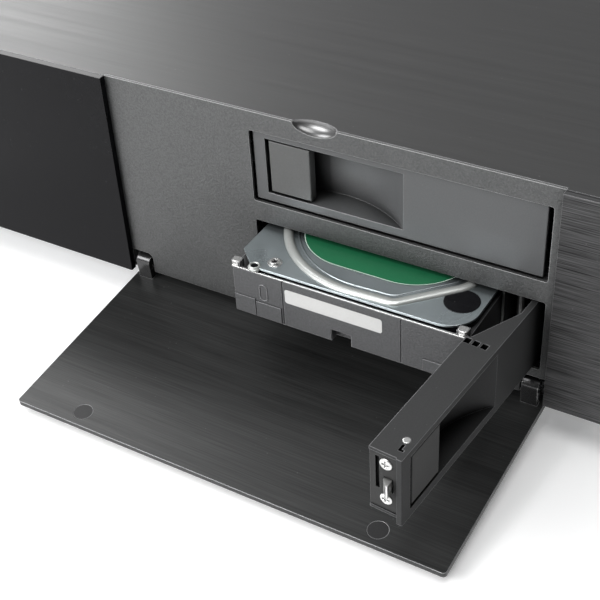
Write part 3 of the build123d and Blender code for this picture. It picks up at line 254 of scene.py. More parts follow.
def finish(
    name, base, light, rough, metallic=0.0, lines=None, line_width=0.0003, grain=0.0004, depth=0.00002,
    edge=None, edge_highlight_amount=0.5, edge_radius=0.0003, marks=0.4, patch=0.05, coat=0.0, tone=0.35,
    specular=0.5, bands=0.3, hollow=0.0, hollow_reach=0.014,
):
    """A whole finish: base and light are its two tones, rough its smoothest and dullest, and lines the
    stretch of brushed metal. Without lines it has a fine grain. edge is the tone of a painted highlight on
    the outer edges, hollow how far pockets and gaps are darkened with painted shade, and bands how much
    the slow pattern shows over the fine one. Lengths here are in metres."""
    made = bpy.data.materials.new(name)
    made.use_nodes = True
    tree = made.node_tree
    tree.nodes.clear()
    shader = wire(tree, "ShaderNodeBsdfPrincipled")
    out = wire(tree, "ShaderNodeOutputMaterial", {"Surface": shader.outputs["BSDF"]})
    out.is_active_output = True
    edges = fill(tree, edge_line, {"Radius": edge_radius})
    touched = fill(tree, handling_marks, {"Amount": marks})
    if lines:
        texture = fill(tree, brushed_lines, {"Stretch": lines, "Line Width": line_width})
        fine, slow = texture.outputs["Lines"], texture.outputs["Bands"]
    else:
        texture = fill(tree, fine_grain, {"Grain Size": grain, "Patch Size": patch})
        fine, slow = texture.outputs["Grain"], texture.outputs["Patch"]
    uneven = wire(tree, "ShaderNodeMix", {0: bands, 2: fine, 3: slow}).outputs[0]
    colour = mix_colour(tree, times(tree, uneven, tone), base, light)
    colour = mix_colour(tree, times(tree, touched.outputs["Dust"], DUST_SHARE), colour, DUST_GREY)
    # Painted highlight: outer edges lightened towards the edge tone.
    if edge:
        colour = mix_colour(tree, times(tree, edges.outputs["Edge Highlight"], edge_highlight_amount), colour, edge)
    # Painted shade: pockets and gaps darkened by how deep they lie.
    if hollow:
        inside = fill(tree, painted_hollow_shade, {"Reach": hollow_reach}).outputs["Painted Shade"]
        colour = mix_colour(tree, times(tree, inside, hollow), colour, PAINTED_SHADE_BLACK)
    tree.links.new(colour, shader.inputs["Base Color"])
    duller = wire(tree, "ShaderNodeMath", {0: touched.outputs["Smear"], 1: slow}, operation="MAXIMUM")
    roughness = spread(tree, duller.outputs[0], 0.0, 1.0, rough[0], rough[1])
    tree.links.new(roughness, shader.inputs["Roughness"])
    bump = wire(
        tree,
        "ShaderNodeBump",
        {"Height": fine, "Normal": edges.outputs["Normal"], "Distance": depth, "Strength": 1.0},
    )
    tree.links.new(bump.outputs["Normal"], shader.inputs["Normal"])
    shader.inputs["Metallic"].default_value = metallic
    shader.inputs["Coat Weight"].default_value = coat
    shader.inputs["Coat Roughness"].default_value = COAT_ROUGHNESS
    shader.inputs["Specular IOR Level"].default_value = specular
    return made


# In each finish the edge tone is a painted highlight, and the hollow amount a painted shade in pockets and
# gaps.
finishes = {
    "cover_paint": finish(
        "cover satin black", (0.04, 0.04, 0.04), (0.062, 0.062, 0.062), (0.38, 0.44), 0.2, FAINT_LINES,
        0.0004, depth=0.000004, edge=EDGE_HIGHLIGHT_GREY, edge_radius=0.0004, edge_highlight_amount=0.8, tone=0.5, bands=0.25,
    ),
    "case_steel": finish(
        "plated case steel", (0.42, 0.43, 0.44), (0.55, 0.56, 0.57), (0.3, 0.45), 0.9, edge=(0.7, 0.7, 0.7),
        grain=0.002, depth=0.00001,
    ),
    "front_paint": finish(
        "front powder coat", (0.058, 0.0593, 0.0597), (0.118, 0.12, 0.1205), (0.4, 0.6), 0.2, grain=0.0007,
        depth=0.00012, edge=(0.62, 0.62, 0.62), edge_highlight_amount=0.8, edge_radius=0.0005, tone=1.0, bands=0.3,
        hollow=0.85,
    ),
    "window_black": finish(
        "window gloss black", (0.004, 0.004, 0.005), (0.009, 0.009, 0.01), (0.12, 0.2), grain=0.004,
        depth=0.000002, edge=(0.14, 0.14, 0.14), marks=0.2, specular=0.1,
    ),
    "brushed_black": finish(
        "side panel brushed black", (0.006, 0.006, 0.0065), (0.125, 0.125, 0.127), (0.28, 0.5), 0.6,
        SIDE_PANEL_LINES, 0.00045, depth=0.00005, edge=EDGE_HIGHLIGHT_GREY, tone=1.0, bands=0.12,
    ),
    "door_black": finish(
        "door anodised black", (0.014, 0.0145, 0.0145), (0.045, 0.046, 0.0455), (0.32, 0.4), 0.35,
        FAINT_LINES, 0.0005, depth=0.000006, edge=(0.55, 0.55, 0.56), edge_highlight_amount=0.9, edge_radius=0.0005,
        tone=0.8, bands=0.2,
    ),
    "foot_black": finish("foot moulded black", (0.02, 0.02, 0.02), (0.035, 0.035, 0.035), (0.4, 0.55)),
    "foot_rubber": finish("foot rubber", (0.012, 0.012, 0.012), (0.025, 0.025, 0.025), (0.75, 0.9)),
    "screw_black": finish("screw black oxide", (0.03, 0.03, 0.032), (0.06, 0.06, 0.06), (0.3, 0.4), 0.7),
    "hinge_black": finish(
        "hinge black plate", (0.06, 0.06, 0.061), (0.12, 0.12, 0.121), (0.18, 0.3), 0.8, grain=0.001,
        depth=0.00001, edge=(0.7, 0.7, 0.7), edge_highlight_amount=0.8, edge_radius=0.0005,
    ),
    "bright_steel": finish(
        "bright steel", (0.4, 0.4, 0.41), (0.58, 0.58, 0.59), (0.2, 0.34), 0.9, ALONG_X, depth=0.000008,
        edge=(0.85, 0.85, 0.85), edge_highlight_amount=0.9, hollow=0.9,
    ),
    "magnet_nickel": finish(
        "magnet black film", (0.016, 0.016, 0.0165), (0.03, 0.03, 0.031), (0.36, 0.44), 0.35, grain=0.0008,
        edge=(0.2, 0.2, 0.2),
    ),
    "guide_plastic": finish(
        "guide moulded black", (0.018, 0.018, 0.019), (0.03, 0.03, 0.031), (0.35, 0.5), edge=(0.7, 0.7, 0.7),
        edge_highlight_amount=0.9, edge_radius=0.0005,
    ),
    "board_green": finish(
        "circuit board green", (0.008, 0.05, 0.022), (0.02, 0.1, 0.045), (0.3, 0.4), coat=0.3, grain=0.003
    ),
    "socket_black": finish("socket moulded black", (0.015, 0.015, 0.016), (0.03, 0.03, 0.03), (0.35, 0.5)),
    "handle_grey": finish(
        "handle moulded grey", (0.075, 0.077, 0.079), (0.108, 0.111, 0.114), (0.34, 0.44), grain=0.0005,
        depth=0.00001, edge=(0.5, 0.5, 0.51), edge_highlight_amount=0.7, edge_radius=0.0005, hollow=0.97, tone=0.6,
    ),
    "cap_black": finish(
        "cap moulded black", (0.02, 0.02, 0.021), (0.035, 0.035, 0.036), (0.3, 0.42), edge=(0.2, 0.2, 0.2)
    ),
    "screw_steel": finish(
        "screw bright zinc", (0.66, 0.66, 0.65), (0.84, 0.84, 0.83), (0.22, 0.36), 0.85, grain=0.001,
        edge=(0.95, 0.95, 0.95), hollow=0.9, hollow_reach=0.0016,
    ),
    "latch_plastic": finish(
        "latch moulded grey", (0.075, 0.076, 0.075), (0.108, 0.11, 0.109), (0.34, 0.46), grain=0.0005,
        edge=(0.5, 0.5, 0.5), edge_highlight_amount=0.7, edge_radius=0.0005, hollow=0.97, tone=0.6,
    ),
    "cast_black": finish(
        "drive casting black", (0.085, 0.086, 0.089), (0.14, 0.141, 0.145), (0.36, 0.5), 0.3, grain=0.0008,
        depth=0.00006, edge=(0.85, 0.85, 0.87), edge_highlight_amount=0.9, edge_radius=0.0003, hollow=0.6, tone=0.8,
    ),
    "lid_metal": finish(
        "drive cover steel", (0.46, 0.52, 0.54), (0.58, 0.64, 0.66), (0.24, 0.36), 0.9, grain=0.012,
        patch=0.03, depth=0.000001, edge=(0.9, 0.91, 0.92), edge_highlight_amount=0.7, hollow=0.6, tone=0.6, bands=0.6,
    ),
    "label_film": finish(
        "label green film", (0.012, 0.14, 0.058), (0.018, 0.17, 0.072), (0.3, 0.4), grain=0.004, hollow=0.5
    ),
    "heat_metal": finish("heatsink anodised", (0.2, 0.2, 0.21), (0.3, 0.3, 0.31), (0.35, 0.45), 0.9, ALONG_Y),
    "coil_yellow": finish("coil tape yellow", (0.5, 0.33, 0.05), (0.62, 0.44, 0.1), (0.35, 0.5), grain=0.002),
    "capacitor_sleeve": finish("capacitor sleeve", (0.012, 0.016, 0.04), (0.02, 0.03, 0.07), (0.2, 0.3)),
    "display_black": finish("display glass dark", (0.006, 0.012, 0.012), (0.01, 0.02, 0.02), (0.1, 0.2)),
    "port_metal": finish(
        "port plated metal", (0.5, 0.5, 0.51), (0.66, 0.66, 0.66), (0.2, 0.32), 1.0, grain=0.001,
        edge=(0.85, 0.85, 0.85), hollow=0.8,
    ),
    "button_metal": finish(
        "button turned metal", (0.16, 0.16, 0.165), (0.3, 0.3, 0.31), (0.22, 0.32), 1.0, grain=0.0006,
        edge=(0.6, 0.6, 0.6),
    ),
    "ejector_plastic": finish("ejector moulded", (0.02, 0.02, 0.021), (0.034, 0.034, 0.035), (0.35, 0.5)),
}
finishes.update({
    # The open bay's handle, latch and cap: darker copies of the handle greys, as painted shade.
    "open_handle_shaded_grey": finish(
        "open handle grey with painted shade", (0.042, 0.0425, 0.043), (0.066, 0.067, 0.068), (0.4, 0.5), grain=0.0005,
        depth=0.00001, edge=(0.34, 0.34, 0.35), edge_highlight_amount=0.7, edge_radius=0.0005, specular=0.03,
        hollow=0.97,
    ),
    "open_latch_shaded_grey": finish(
        "open latch grey with painted shade", (0.04, 0.04, 0.04), (0.062, 0.062, 0.062), (0.4, 0.5), grain=0.0005,
        edge=(0.25, 0.25, 0.25), specular=0.06, hollow=0.9,
    ),
    "label_white": finish(
        "label white paper", (0.62, 0.62, 0.61), (0.72, 0.72, 0.71), (0.5, 0.6), grain=0.001, marks=0.3
    ),
    "seal_black": finish(
        "seal gloss black", (0.004, 0.004, 0.005), (0.008, 0.008, 0.01), (0.1, 0.18), grain=0.003,
        specular=0.16,
    ),
    "label_line": finish("label pale line", (0.5, 0.62, 0.55), (0.6, 0.7, 0.64), (0.3, 0.4), grain=0.002),
    # A lighter copy of the cover steel for the bead, the lug and the guide strips: painted highlight.
    "highlight_steel": finish(
        "cover steel lighter copy", (0.62, 0.64, 0.62), (0.74, 0.76, 0.73), (0.3, 0.4), 0.65, grain=0.002,
        depth=0.000001, hollow=0.6,
    ),
    "scoop_bright": finish(
        "scoop cut metal", (0.17, 0.17, 0.17), (0.3, 0.3, 0.3), (0.26, 0.36), 0.9, ALONG_X, 0.0006,
        depth=0.00001,
    ),
    "gold_contact": finish(
        "contact gold plate", (0.6, 0.42, 0.12), (0.8, 0.6, 0.25), (0.2, 0.3), 1.0, grain=0.001
    ),
})

# Every imported part takes the finish of its slot, and the open bay's handle darker copies of its greys:
# painted shade.
for subpart in frame["record"]["subparts"]:
    skin = nodes[subpart["node"]].data.materials
    skin.clear()
    skin.append(finishes[subpart["material_slot"]])
shaded_copies = {
    "lower_handle": "open_handle_shaded_grey",
    "lower_latch_button": "open_latch_shaded_grey",
    "lower_handle_cap": "open_latch_shaded_grey",
}
for name, own in shaded_copies.items():
    nodes[name].data.materials[0] = finishes[own]


# ---------------------------------------------------------------- making pieces
WELD = 0.0005


class Work:
    """A piece in the making, drawn in millimetres along the axes of its place."""

    def __init__(self, place):
        self.place = place
        self.mesh = bmesh.new()

    def loft(self, rings, close=False):
        """Joins rings of points one after another, and shuts the two ends unless the rings form a loop."""
        made = [[self.mesh.verts.new(p) for p in ring] for ring in rings]
        count = len(made[0])
        pairs = list(zip(made, made[1:] + (made[:1] if close else [])))
        for low, high in pairs:
            for i in range(count):
                j = (i + 1) % count
                self.mesh.faces.new((low[i], low[j], high[j], high[i]))
        if not close:
            self.mesh.faces.new(made[0])
            self.mesh.faces.new(made[-1])
        return self

    def block(self, x, y, z):
        """A block between two places on each axis."""
        corners = ((x[0], y[0]), (x[1], y[0]), (x[1], y[1]), (x[0], y[1]))
        return self.plate(corners, z[0], z[1])

    def plate(self, outline, low, high):
        """A flat plate of that outline in X and Y."""
        return self.loft([[(px, py, z) for px, py in outline] for z in (low, high)])

    def turned(self, profile, centre, sides=32):
        """A piece turned about Z: profile is (radius, height above the centre) from one end to the other."""
        turns = [math.tau * step / sides for step in range(sides)]
        cx, cy, cz = centre
        return self.loft([
            [(radius * math.cos(turn) + cx, radius * math.sin(turn) + cy, rise + cz) for turn in turns]
            for radius, rise in profile
        ])

    def bead(self, path, width, height, base, steps=6):
        """A round-topped bead along a closed path of (x, y), lying on the height base."""
        count = len(path)
        rings = []
        for i, (px, py) in enumerate(path):
            ahead, behind = Vector(path[(i + 1) % count]), Vector(path[i - 1])
            here = Vector((px, py))
            first, second = (here - behind).normalized(), (ahead - here).normalized()
            along = (first + second).normalized()
            across = Vector((-along.y, along.x)) / max(0.5, along.dot(first))
            ring = []
            for step in range(steps + 1):
                angle = math.pi * step / steps
                off = across * (width / 2 * math.cos(angle))
                ring.append((px + off.x, py + off.y, base + height * math.sin(angle)))
            rings.append(ring)
        return self.loft(rings, close=True)

    def done(self, name, body, slot, finish_name=None, bevel=0.0, segments=2, replaces=(), smooth=30.0):
        """Turns the work into a piece in its place, with rounded edges, riding on its body."""
        bmesh.ops.remove_doubles(self.mesh, verts=self.mesh.verts, dist=WELD)
        bmesh.ops.recalc_face_normals(self.mesh, faces=self.mesh.faces)
        data = bpy.data.meshes.new(name)
        self.mesh.transform(self.place)
        self.mesh.to_mesh(data)
        self.mesh.free()
        piece = bpy.data.objects.new(name, data)
        bpy.context.scene.collection.objects.link(piece)
        data.materials.append(finishes[finish_name or slot])
        for face in data.polygons:
            face.use_smooth = True
        data.set_sharp_from_angle(angle=math.radians(smooth))
        if bevel:
            rounding = piece.modifiers.new("rounded edges", "BEVEL")
            rounding.width = bevel * MM
            rounding.segments = segments
            rounding.limit_method = "ANGLE"
            rounding.harden_normals = True
        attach(piece, body)
        if replaces:
            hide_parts(*replaces)
        return piece


def arc(centre, radius, start, end, steps):
    """Points of an arc in degrees, both ends included."""
    return [
        (
            centre[0] + radius * math.cos(math.radians(start + (end - start) * i / steps)),
            centre[1] + radius * math.sin(math.radians(start + (end - start) * i / steps)),
        )
        for i in range(steps + 1)
    ]


def rounded(points, radius, steps=5):
    """A closed outline with its corners rounded. radius is one number, or one for each corner."""
    count = len(points)
    radii = [radius] * count if isinstance(radius, (int, float)) else radius
    outline = []
    for i in range(count):
        here = Vector(points[i])
        before = (Vector(points[i - 1]) - here).normalized()
        after = (Vector(points[(i + 1) % count]) - here).normalized()
        r = radii[i]
        if r <= 0:
            outline.append(tuple(here))
            continue
        half = before.angle(after) / 2
        reach = r / math.tan(half)
        middle = here + (before + after).normalized() * (r / math.sin(half))
        first, last = here + before * reach, here + after * reach
        a, b = first - middle, last - middle
        turn = a.angle_signed(b)
        for step in range(steps + 1):
            angle = -turn * step / steps
            c, s = math.cos(angle), math.sin(angle)
            outline.append((middle.x + a.x * c - a.y * s, middle.y + a.x * s + a.y * c))
    return outline


def frame_outline(x, y, radius, steps=5):
    """A rectangle with round corners, between two places on X and two on Y."""
    return rounded([(x[0], y[0]), (x[1], y[0]), (x[1], y[1]), (x[0], y[1])], radius, steps)


# ---------------------------------------------------------------- hard drives
# Places on a drive are measured from its casting's front left lower corner.
DRIVE_SIDE = 101.6
CASTING_TOP, LID_TOP, BEAD_TOP = 20.9, 24.7, 26.1
LID_SHEET = 1.0
SUNK = 0.02
SPINDLE = (50.8, 48.3)
BEAD_RADIUS, BEAD_RIGHT, BEAD_BACK = 45.15, 91.75, 109.75
BEAD_TIP, BEAD_SLOPE, BEAD_LEAVES = (70.0, 4.0), (0.7056, 0.7086), 272.7
BEAD_CORNERS = [5.0, 12.0, 14.0, 14.0]
BEAD_WIDTH = 4.2
GROOVE_INSET, GROOVE_WIDTH, GROOVE_HEIGHT = 4.2, 0.9, 0.4
COVER_EDGE, COVER_RIGHT, COVER_BACK = 0.4, 101.2, 146.6
COVER_SHOULDER, COVER_NOTCH = 143.2, 97.2
COVER_CUT, CUT_PER_INSET = 8.8, 0.41
COVER_CORNER, COVER_CORNER_RADIUS = (89.2, 12.4), 12.0
GASKET_INSET = 0.5
LABEL_X, LABEL_Y, LABEL_RADIUS, LABEL_SHEET = (15.0, 86.6), (15.1, 81.5), 24.0, 0.12
LABEL_LINE_INSET, LABEL_LINE_WIDTH, LABEL_LINE_HEIGHT, LABEL_LINE_RISE = 0.3, 0.6, 0.06, 0.09
SEAL_PLACE, SEAL_PROFILE = (92.3, 16.2), [(6.9, 0.0), (6.9, 0.14), (6.5, 0.2), (0.01, 0.2)]
SCREW_PLACES = ((16.8, 6.2), (95.6, 62.0), (4.0, 62.0), (4.0, 128.0), (95.6, 128.0), (50.8, 138.0))
SCREW_RADIUS = 2.4
SCREW_HEIGHT = SCREW_RADIUS * 0.45
# Shares of the screw's radius and height.
SCREW_PROFILE = [
    (1.25, -0.05), (1.25, 0.12), (1.0, 0.16), (0.98, 0.55),
    (0.84, 1.0), (0.5, 0.96), (0.42, 0.3), (0.01, 0.28),
]
STAR_POINTS, STAR_RADII, STAR_RISE = 6, (1.15, 0.8), (0.2, 0.45)
LUG_X, LUG_Y, LUG_Z, LUG_RADIUS = (7.8, 13.4), (-1.7, 3.0), (23.7, 24.6), 2.7
EYELET_PLACE = (10.6, 0.9, 24.5)
EYELET_PROFILE = [(2.4, 0.0), (2.4, 0.3), (2.1, 0.8), (1.75, 0.85), (1.45, 0.5), (1.4, 0.0)]
# The eyelet's hole as a black disc: painted shade.
EYELET_HOLE_SHADE = [(1.5, 0.0), (1.5, 0.35), (0.01, 0.35)]
FRONT_LOW, FRONT_TOP, FRONT_FACE = 0.6, 22.2, -0.35
SIDE_PLATES, SIDE_PLATE_BACK = ((0.9, 23.2), (75.5, 100.7)), 0.2
MIDDLE_PLATE, MIDDLE_PLATE_SHEET, MIDDLE_NOTCH, NOTCH_TOP = (23.8, 75.0), 0.5, (44.8, 53.8), 5.9
LEDGES = (((1.0, 10.6), 9.3), ((10.9, 22.6), 8.4), ((84.5, 100.4), 6.6))
LEDGE_Y, LEDGE_LOW = (-0.9, -0.2), 0.8
STRIP_X, STRIP_Y = (0.5, 101.1), (-0.6, 0.35)
# A bright strip along the top of the drive's front: painted highlight.
HIGHLIGHT_STRIP_X, HIGHLIGHT_STRIP_Y, HIGHLIGHT_STRIP_LOW, HIGHLIGHT_STRIP_TOP = (0.6, 101.0), (-0.66, 0.3), 22.6, 23.0
OVAL_X, OVAL_Z, OVAL_RADIUS, OVAL_LINE, OVAL_HEIGHT = (12.9, 16.3), (9.6, 17.2), 1.6, 0.6, 0.35
TAG_X, TAG_Z, TAG_RADIUS, TAG_SHEET = (24.6, 67.4), (12.1, 18.7), 1.1, 0.12
PAD_SIZE, PAD_RADIUS, PAD_TOP, PAD_DEPTH = (4.1, 3.5), 1.2, 25.0, 1.5
PAD_X, PAD_Y = (-0.05, 97.55), (-0.05, 143.55)


def bead_path(inset):
    """The closed line of the raised bead on the drive's cover, moved inwards by inset."""
    radius = BEAD_RADIUS - inset
    right, back, left = BEAD_RIGHT - inset, BEAD_BACK - inset, SPINDLE[0] - radius
    leaves = math.radians(BEAD_LEAVES)
    slope = Vector(BEAD_SLOPE)
    first, second = Vector((-math.cos(leaves), -math.sin(leaves))), Vector((-slope.y, slope.x))
    share = inset / (first.x * second.y - first.y * second.x)
    tip = Vector(BEAD_TIP) + share * Vector((second.y - first.y, first.x - second.x))
    meets = tip + slope * ((right - tip.x) / slope.x)
    curve = arc(SPINDLE, radius, 180.0, math.degrees(leaves), steps=48)
    corners = [tuple(tip), tuple(meets), (right, back), (left, back)]
    return rounded(curve + corners, [0.0] * len(curve) + BEAD_CORNERS, steps=8)


def cover_outline(inset):
    """The outline of the drive's cover: a cut corner, a round corner, and notches for the back pads."""
    low, high, far = COVER_EDGE + inset, COVER_RIGHT - inset, COVER_BACK - inset
    notch, shoulder = COVER_NOTCH - inset, COVER_SHOULDER - inset
    cut = COVER_CUT + inset * CUT_PER_INSET
    round_corner = arc(COVER_CORNER, COVER_CORNER_RADIUS - inset, -90.0, 0.0, steps=16)
    right_side = [(high, shoulder), (notch, shoulder), (notch, far)]
    left_side = [(DRIVE_SIDE - notch, far), (DRIVE_SIDE - notch, shoulder), (low, shoulder), (low, low + cut)]
    return [(low + cut, low)] + round_corner + right_side + left_side


def label_outline(inset):
    """The round label: broad round corners and a straight front."""
    x = (LABEL_X[0] + inset, LABEL_X[1] - inset)
    y = (LABEL_Y[0] + inset, LABEL_Y[1] - inset)
    return frame_outline(x, y, LABEL_RADIUS - inset, steps=20)


def star_screw(work, x, y):
    """A low round screw head with a dished socket."""
    profile = [(radius * SCREW_RADIUS, rise * SCREW_HEIGHT) for radius, rise in SCREW_PROFILE]
    work.turned(profile, (x, y, LID_TOP), sides=28)


def star_socket_shade(work, x, y):
    """The six-pointed socket in a screw's head, as a black plate: painted shade."""
    star = []
    for i, radius in enumerate(STAR_RADII * STAR_POINTS):
        angle = i * math.pi / STAR_POINTS
        star.append((x + radius * math.cos(angle), y + radius * math.sin(angle)))
    work.plate(star, LID_TOP + STAR_RISE[0], LID_TOP + STAR_RISE[1])


def dress_cover(bay, body, place):
    """The drive's cover with its bead and groove, on a dark gasket."""
    cover = Work(place)
    cover.plate(cover_outline(0.0), LID_TOP - LID_SHEET, LID_TOP)
    cover.bead(bead_path(GROOVE_INSET), GROOVE_WIDTH, GROOVE_HEIGHT, LID_TOP - SUNK, steps=4)
    cover.done(f"{bay}_drive_cover", body, "lid_metal", bevel=0.35, segments=3, replaces=[f"{bay}_drive_lid"])
    # The bead in a lighter copy of the cover steel: painted highlight.
    bead = Work(place)
    bead.bead(bead_path(0.0), BEAD_WIDTH, BEAD_TOP - LID_TOP, LID_TOP - SUNK, steps=12)
    bead.done(f"{bay}_drive_bead", body, "lid_metal", "highlight_steel")
    gasket = Work(place)
    gasket.plate(cover_outline(GASKET_INSET), CASTING_TOP, LID_TOP - LID_SHEET)
    gasket.done(f"{bay}_drive_gasket", body, "lid_metal", "seal_black")


def dress_labels(bay, body, place):
    """The bare round label with its pale line, and the round black seal."""
    label = Work(place)
    label.plate(label_outline(0.0), LID_TOP, LID_TOP + LABEL_SHEET)
    label.done(f"{bay}_drive_round_label", body, "label_film", replaces=[f"{bay}_drive_labels"])
    line = Work(place)
    outline = label_outline(LABEL_LINE_INSET)
    line.bead(outline, LABEL_LINE_WIDTH, LABEL_LINE_HEIGHT, LID_TOP + LABEL_LINE_RISE, steps=3)
    line.done(f"{bay}_drive_label_line", body, "label_film", "label_line")
    seal = Work(place)
    seal.turned(SEAL_PROFILE, (*SEAL_PLACE, LID_TOP), sides=64)
    seal.done(f"{bay}_drive_seal", body, "label_film", "seal_black")


def dress_fasteners(bay, body, place):
    """The cover's screws with painted shade in their sockets, and the lug with its eyelet at the front left
    corner.
    """
    # Each screw's socket is a black star plate: painted shade.
    screws, sockets = Work(place), Work(place)
    for x, y in SCREW_PLACES:
        star_screw(screws, x, y)
        star_socket_shade(sockets, x, y)
    screws.done(f"{bay}_drive_screws", body, "screw_steel", bevel=0.08)
    sockets.done(f"{bay}_drive_screw_socket_shade", body, "screw_steel", "seal_black")

    # The lug in a lighter copy of the cover steel: painted highlight.
    lug = Work(place)
    ends = [(LUG_X[0], LUG_Y[1]), (LUG_X[0], LUG_Y[0]), (LUG_X[1], LUG_Y[0]), (LUG_X[1], LUG_Y[1])]
    lug.plate(rounded(ends, [0.0, LUG_RADIUS, LUG_RADIUS, 0.0], steps=8), *LUG_Z)
    lug.turned(EYELET_PROFILE, EYELET_PLACE, sides=40)
    lug.done(f"{bay}_drive_lug", body, "lid_metal", "highlight_steel", bevel=0.12)
    # The eyelet's hole is a black disc in the ring: painted shade.
    hole_shade = Work(place)
    hole_shade.turned(EYELET_HOLE_SHADE, EYELET_PLACE, sides=32)
    hole_shade.done(f"{bay}_drive_lug_hole_shade", body, "lid_metal", "seal_black")


def dress_front(bay, body, place):
    """The plates, ledges, oval and bare label on the drive's front, and a bright strip that is a painted
    highlight.
    """
    plates = Work(place)
    for x in SIDE_PLATES:
        plates.block(x, (FRONT_FACE, SIDE_PLATE_BACK), (FRONT_LOW, FRONT_TOP))
    plates.done(f"{bay}_drive_front_plates", body, "cast_black", bevel=0.12)
    ledges = Work(place)
    for x, z in LEDGES:
        ledges.block(x, LEDGE_Y, (LEDGE_LOW, z))
    ledges.block(STRIP_X, STRIP_Y, (FRONT_TOP, HIGHLIGHT_STRIP_LOW))
    ledges.done(f"{bay}_drive_front_ledges", body, "cast_black", bevel=0.2)
    # A bright zinc strip on the black casting's top front edge: painted highlight.
    highlight_strip = Work(place)
    highlight_strip.block(HIGHLIGHT_STRIP_X, HIGHLIGHT_STRIP_Y, (HIGHLIGHT_STRIP_LOW, HIGHLIGHT_STRIP_TOP))
    highlight_strip.done(f"{bay}_drive_front_highlight_strip", body, "cast_black", "screw_steel", bevel=0.12)

    facing = spot(place @ Vector((0.0, FRONT_FACE, 0.0)), (1, 0, 0), (0, -1, 0))
    middle = Work(facing)
    left, right = MIDDLE_PLATE
    notch_left, notch_right = MIDDLE_NOTCH
    left_foot = [(left, FRONT_LOW), (notch_left, FRONT_LOW)]
    right_foot = [(notch_right, FRONT_LOW), (right, FRONT_LOW)]
    notch = [(notch_left, NOTCH_TOP), (notch_right, NOTCH_TOP)]
    head = [(right, FRONT_TOP), (left, FRONT_TOP)]
    middle.plate(left_foot + notch + right_foot + head, -MIDDLE_PLATE_SHEET, 0.0)
    middle.done(f"{bay}_drive_front_middle", body, "cast_black", bevel=0.12)
    oval = Work(facing)
    oval.bead(frame_outline(OVAL_X, OVAL_Z, OVAL_RADIUS), OVAL_LINE, OVAL_HEIGHT, -SUNK, steps=4)
    oval.done(f"{bay}_drive_front_oval", body, "cast_black")
    tag = Work(facing)
    tag.plate(frame_outline(TAG_X, TAG_Z, TAG_RADIUS), 0.0, TAG_SHEET)
    tag.done(f"{bay}_drive_end_label", body, "label_film", "label_white")


def dress_drive(bay):
    """Everything fine on one drive."""
    body = f"{bay}_drive"
    place = spot(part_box(f"{bay}_drive_casting")[0])
    dress_cover(bay, body, place)
    dress_labels(bay, body, place)
    dress_fasteners(bay, body, place)
    dress_front(bay, body, place)
    pads = Work(place)
    for x in PAD_X:
        for y in PAD_Y:
            outline = frame_outline((x, x + PAD_SIZE[0]), (y, y + PAD_SIZE[1]), PAD_RADIUS)
            pads.plate(outline, CASTING_TOP - PAD_DEPTH, PAD_TOP)
    pads.done(f"{bay}_drive_pads", body, "screw_steel", bevel=0.4)


for bay in bays:
    dress_drive(bay)


# ---------------------------------------------------------------- swing handles
# Places on a handle are measured from its hinge, X away from the tip and Y into the case when shut.
HINGE_PIN = (179.4, 14.3)
CAP_FACE = -108.6
CAP_SCREW_IN, CAP_SCREW_RISES = 6.3, (10.2, 26.8)
CAP_SCREW_RADIUS, CAP_SCREW_HEIGHT = 2.5, 0.6
GUIDE_PIN = (-100.4, -9.3, 32.4)
GUIDE_PIN_PROFILE = [(1.5, -2.0), (1.5, 0.15), (1.25, 0.3), (0.01, 0.3)]
# Shares of a cross screw's radius and height.
CROSS_ARM, CROSS_HALF = 0.62, 0.16
CROSS_TAPER, CROSS_FLOOR = 0.8, 0.3
HEAD_RIMS = ((1.0, 0.0), (1.0, 0.35), (0.93, 0.75), (0.8, 1.0))


def cross_screw(work, place, radius, height):
    """A domed screw head with a cross recess, drawn along Z: place is the middle of its underside."""
    cx, cy, cz = place
    arm, half = radius * CROSS_ARM, radius * CROSS_HALF
    quarter = [(arm, -half), (arm, half), (half, half)]
    cross = list(quarter)
    for _ in range(3):
        quarter = [(-py, px) for px, py in quarter]
        cross += quarter
    points = []
    for i, (px, py) in enumerate(cross):
        qx, qy = cross[(i + 1) % len(cross)]
        for part in (0.0, 0.5):
            points.append((px + (qx - px) * part, py + (qy - py) * part))
    rings = []
    for share, rise in HEAD_RIMS:
        reach = radius * share
        ring = []
        for px, py in points:
            turn = math.atan2(py, px)
            ring.append((cx + reach * math.cos(turn), cy + reach * math.sin(turn), cz + rise * height))
        rings.append(ring)
    rings.append([(cx + px, cy + py, cz + height) for px, py in points])
    bottom = cz + height * CROSS_FLOOR
    rings.append([(cx + px * CROSS_TAPER, cy + py * CROSS_TAPER, bottom) for px, py in points])
    work.loft(rings)


def dress_handle(bay):
    """The cross screws in the handle's end, and its guide pin."""
    body = f"{bay}_handle"
    turn = opened[bay]
    along = Vector((math.cos(turn), math.sin(turn), 0.0))
    across = Vector((-math.sin(turn), math.cos(turn), 0.0))
    hinge = spot(along_case((*HINGE_PIN, bays[bay])), along)
    end = hinge @ Vector((CAP_FACE, 0.0, 0.0))
    screws = Work(spot(end, -across, -along))
    for z in CAP_SCREW_RISES:
        cross_screw(screws, (CAP_SCREW_IN, z, 0.0), CAP_SCREW_RADIUS, CAP_SCREW_HEIGHT)
    name = f"{bay}_handle_end_screws"
    screws.done(name, body, "screw_steel", replaces=[f"{bay}_handle_screws"], smooth=40.0)
    stud = Work(hinge)
    stud.turned(GUIDE_PIN_PROFILE, GUIDE_PIN, sides=28)
    stud.done(f"{bay}_handle_guide_pin", body, "screw_steel")


for bay in bays:
    dress_handle(bay)


# ---------------------------------------------------------------- finger scoop
SCOOP_MIDDLE, SCOOP_HALF, SCOOP_REACH = 98.75, 9.75, 4.4
SCOOP_SHELLS = (0.995, 0.965)
SCOOP_RINGS, SCOOP_END = 25, 0.02


